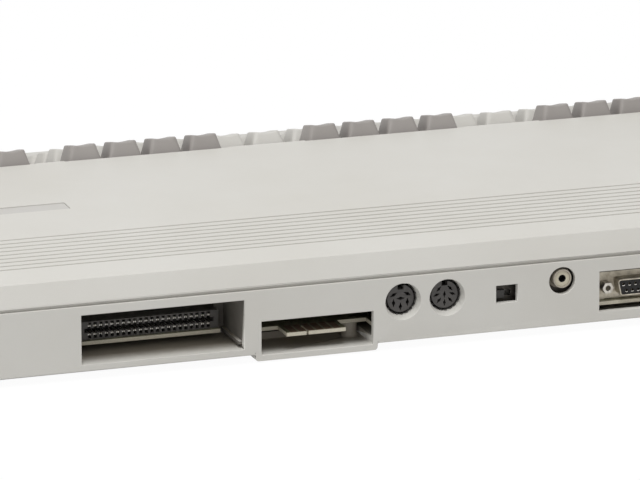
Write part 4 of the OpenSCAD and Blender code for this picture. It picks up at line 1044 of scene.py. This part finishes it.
# A cap wider than this is the space bar: it has no dish, finer sides and three plungers
WIDE_UNITS = 4
SIDE_STEPS = 8
WIDE_STEPS = 24
WIDE_PLUNGERS = (-3 * PITCH, 0, 3 * PITCH)
PLUNGER_R = 3
PLUNGER_END = -3.9
PLUNGER_SIDES = 20
KEYBOARD = (Matrix.Scale(MM, 4) @ Matrix.Translation((KEYS_SHIFT, REAR_Y - KEYS_F, KEYS_Z))
            @ Matrix.Rotation(math.radians(TILT), 4, "X"))


def cap_ring(half_x, y0, y1, radius, side_steps, corner_steps=4):
    """Points [x, y] around a rounded rectangle, with extra points along its front and rear sides."""
    points = []
    corners = ((half_x - radius, y0 + radius, -90), (half_x - radius, y1 - radius, 0),
               (radius - half_x, y1 - radius, 90), (radius - half_x, y0 + radius, 180))
    for i, (cx, cy, start) in enumerate(corners):
        for j in range(corner_steps + 1):
            angle = math.radians(start + 90 * j / corner_steps)
            points.append((cx + radius * math.cos(angle), cy + radius * math.sin(angle)))
        if i in (1, 3):
            end = corners[(i + 1) % 4][0]
            points += [(cx + (end - cx) * j / side_steps, y1 if i == 1 else y0) for j in range(1, side_steps)]
    return points


def add_rings(bm, rings, place, close_start=False):
    """Skins a stack of point rings of the same count, and closes its last end, or both, with a fan."""
    loops = [[bm.verts.new(place @ Vector(p)) for p in ring] for ring in rings]
    count = len(rings[0])
    for low, high in zip(loops, loops[1:]):
        for i in range(count):
            bm.faces.new((low[i], low[(i + 1) % count], high[(i + 1) % count], high[i]))
    ends = ((loops[0], -1), (loops[-1], 1)) if close_start else ((loops[-1], 1),)
    for loop, turn in ends:
        centre = bm.verts.new(sum((v.co for v in loop), Vector()) / count)
        for i in range(count):
            pair = (loop[i], loop[(i + 1) % count])[::turn]
            bm.faces.new((*pair, centre))
    return loops


def add_cap(bm, place, width, depth, height):
    """One keycap: sloping sides, rounded shoulders, a dished top, a hollow underside and its plunger."""
    base = (width * PITCH - CAP_GAP) / 2
    deep = (depth * PITCH - CAP_GAP) / 2
    side = (CAP_BASE - CAP_TOP) / 2
    front_inset = CAP_BASE - CAP_TOP - REAR_INSET
    top = base - side
    dish = DISH if width < WIDE_UNITS else 0
    steps = SIDE_STEPS if width < WIDE_UNITS else WIDE_STEPS

    def surface(x):
        return height - dish * (1 - min(1, abs(x) / top) ** 2)

    def outline(share, inset, radius):
        return cap_ring(base - side * share - inset, -deep + front_inset * share + inset,
                        deep - REAR_INSET * share - inset, radius, steps)

    rings = [[(x, y, 0) for x, y in outline(0, 0, CAP_FOOT_R)]]
    for share in SIDE_SHARES:
        radius = CAP_FOOT_R + (CAP_HEAD_R - CAP_FOOT_R) * share
        rings.append([(x, y, (surface(x) - SHOULDER) * share) for x, y in outline(share, 0, radius)])
    shoulder_share = 1 - SHOULDER / height
    for angle in SHOULDER_TURNS:
        drop = SHOULDER * (1 - math.sin(math.radians(angle)))
        inset = SHOULDER * (1 - math.cos(math.radians(angle)))
        share = shoulder_share + (1 - shoulder_share) * angle / 90
        points = outline(share, inset, CAP_HEAD_R - inset / 2)
        rings.append([(x, y, surface(x) - drop) for x, y in points])
    mid_y = (front_inset - REAR_INSET) / 2
    edge = [(x, y) for x, y, _ in rings[-1]]
    for scale in TOP_SHARES:
        shrunk = [(x * scale, mid_y + (y - mid_y) * scale) for x, y in edge]
        rings.append([(x, y, surface(x)) for x, y in shrunk])
    outer = add_rings(bm, rings, place)
    roof = height - dish - CAP_WALL
    hollow = [[(x, y, z) for x, y in reversed(outline(share, CAP_WALL, CAP_FOOT_R))]
              for share, z in ((0, 0), (roof / height, roof))]
    inner = add_rings(bm, hollow, place)
    count = len(rings[0])
    for i in range(count):
        near, far = inner[0][(count - 1 - i) % count], inner[0][(count - 2 - i) % count]
        bm.faces.new((outer[0][(i + 1) % count], outer[0][i], near, far))
    turns = [math.radians(360 * i / PLUNGER_SIDES) for i in range(PLUNGER_SIDES)]
    stem = [[(PLUNGER_R * math.cos(a), PLUNGER_R * math.sin(a), z) for a in turns]
            for z in (PLUNGER_END, roof + CAP_WALL / 2)]
    for x in (WIDE_PLUNGERS if width > WIDE_UNITS else (0,)):
        add_rings(bm, stem, place @ Matrix.Translation((x, 0, 0)), close_start=True)


def run(row, start, count):
    """A row of keys of one unit, side by side."""
    return [(start + i, row, 1, 1) for i in range(count)]


def make_keys(node, keys, left, finish):
    """The caps of one node. A key is (unit from the block's left end, row, units wide, rows deep)."""
    bm = bmesh.new()
    for unit, row, width, depth in keys:
        s = CAP_BASE / 2 + row * PITCH + (ROW_GAP if row else 0) + (depth - 1) * PITCH / 2
        centre = Matrix.Translation((left + (unit + width / 2) * PITCH, -s, 0))
        add_cap(bm, KEYBOARD @ centre, width, depth, ROW_H[row])
    mesh = bpy.data.meshes.new(node + "_cap")
    bm.to_mesh(mesh)
    bm.free()
    smooth(mesh, CAP_SHARP)
    add_piece(node + "_cap", mesh, finish, (node,), node + "_body")


def make_keyboard():
    for i, unit in enumerate((0, 1, 2, 3, 6, 7, 8, 9)):
        make_keys(f"top_key_{i + 1}", [(unit, 0, 1, 1)], KEYS_X, "dark key")
    for i, way in enumerate(("up", "down", "left", "right")):
        make_keys(f"arrow_key_{way}", [(12 + i, 0, 1, 1)], KEYS_X, "dark key")
        make_keys(f"function_key_{i + 1}", [(i, 0, 1, 1)], PAD_X, "dark key")
    light = {
        "number_keys": run(1, 0, 16),
        "letter_keys": run(2, 1.5, 13) + run(3, 2, 12) + run(4, 2.5, 10),
        "command_keys": [(0, 2, 1.5, 1), (14.5, 2, 1.5, 1), (0, 3, 1, 1), (0, 4, 1, 1), (14, 4, 1, 1),
                         (15, 4, 1, 1)],
        "shift_lock_key": [(1, 3, 1, 1)],
        "left_shift_key": [(1, 4, 1.5, 1)],
        "right_shift_key": [(12.5, 4, 1.5, 1)],
        "return_key": [(14, 3, 2, 1)],
        "space_bar": [(3, 5, 9, 1)],
    }
    for node, keys in light.items():
        make_keys(node, keys, KEYS_X, "light key")
    pad = run(1, 0, 4) + run(2, 0, 4) + run(3, 0, 3) + [(0, 4, 2, 1), (2, 4, 1, 1)]
    make_keys("keypad_keys", pad, PAD_X, "light key")
    make_keys("enter_key", [(3, 3, 1, 2)], PAD_X, "light key")


# The nodes that are shown as they are
NODE_FINISH = {
    "rubber_feet": "rubber", "case_screws": "nickel", "nameplate": "plate", "power_lamp": "lamp",
    "main_board": "board", "board_chips": "black", "board_capacitors": "black", "board_shield": "tin",
    "board_screws": "nickel", "slot_housing": "connector", "rf_modulator": "can",
    "channel_slider": "slider", "monitor_insert": "black", "port_shells": "nickel",
    "port_housings": "black", "connector_pins": "gold", "power_socket": "black",
    "power_switch_housing": "black", "power_rocker": "case", "reset_switch": "black",
    "reset_button": "case", "keyboard_frame": "black", "keyboard_board": "board",
    "keyboard_cable": "socket",
}
for node, finish in NODE_FINISH.items():
    dress(node, finish)
make_case()
make_round_socket("serial", "serial_socket", ROUND_X[0], SERIAL_HOLES, SERIAL_PIN)
make_round_socket("video", "video_socket", ROUND_X[1], VIDEO_HOLES, VIDEO_PIN)
make_socket_rings()
make_slot_contacts()
make_edge_contacts()
make_jack()
make_switch_body()
make_monitor_connector()
make_keyboard()
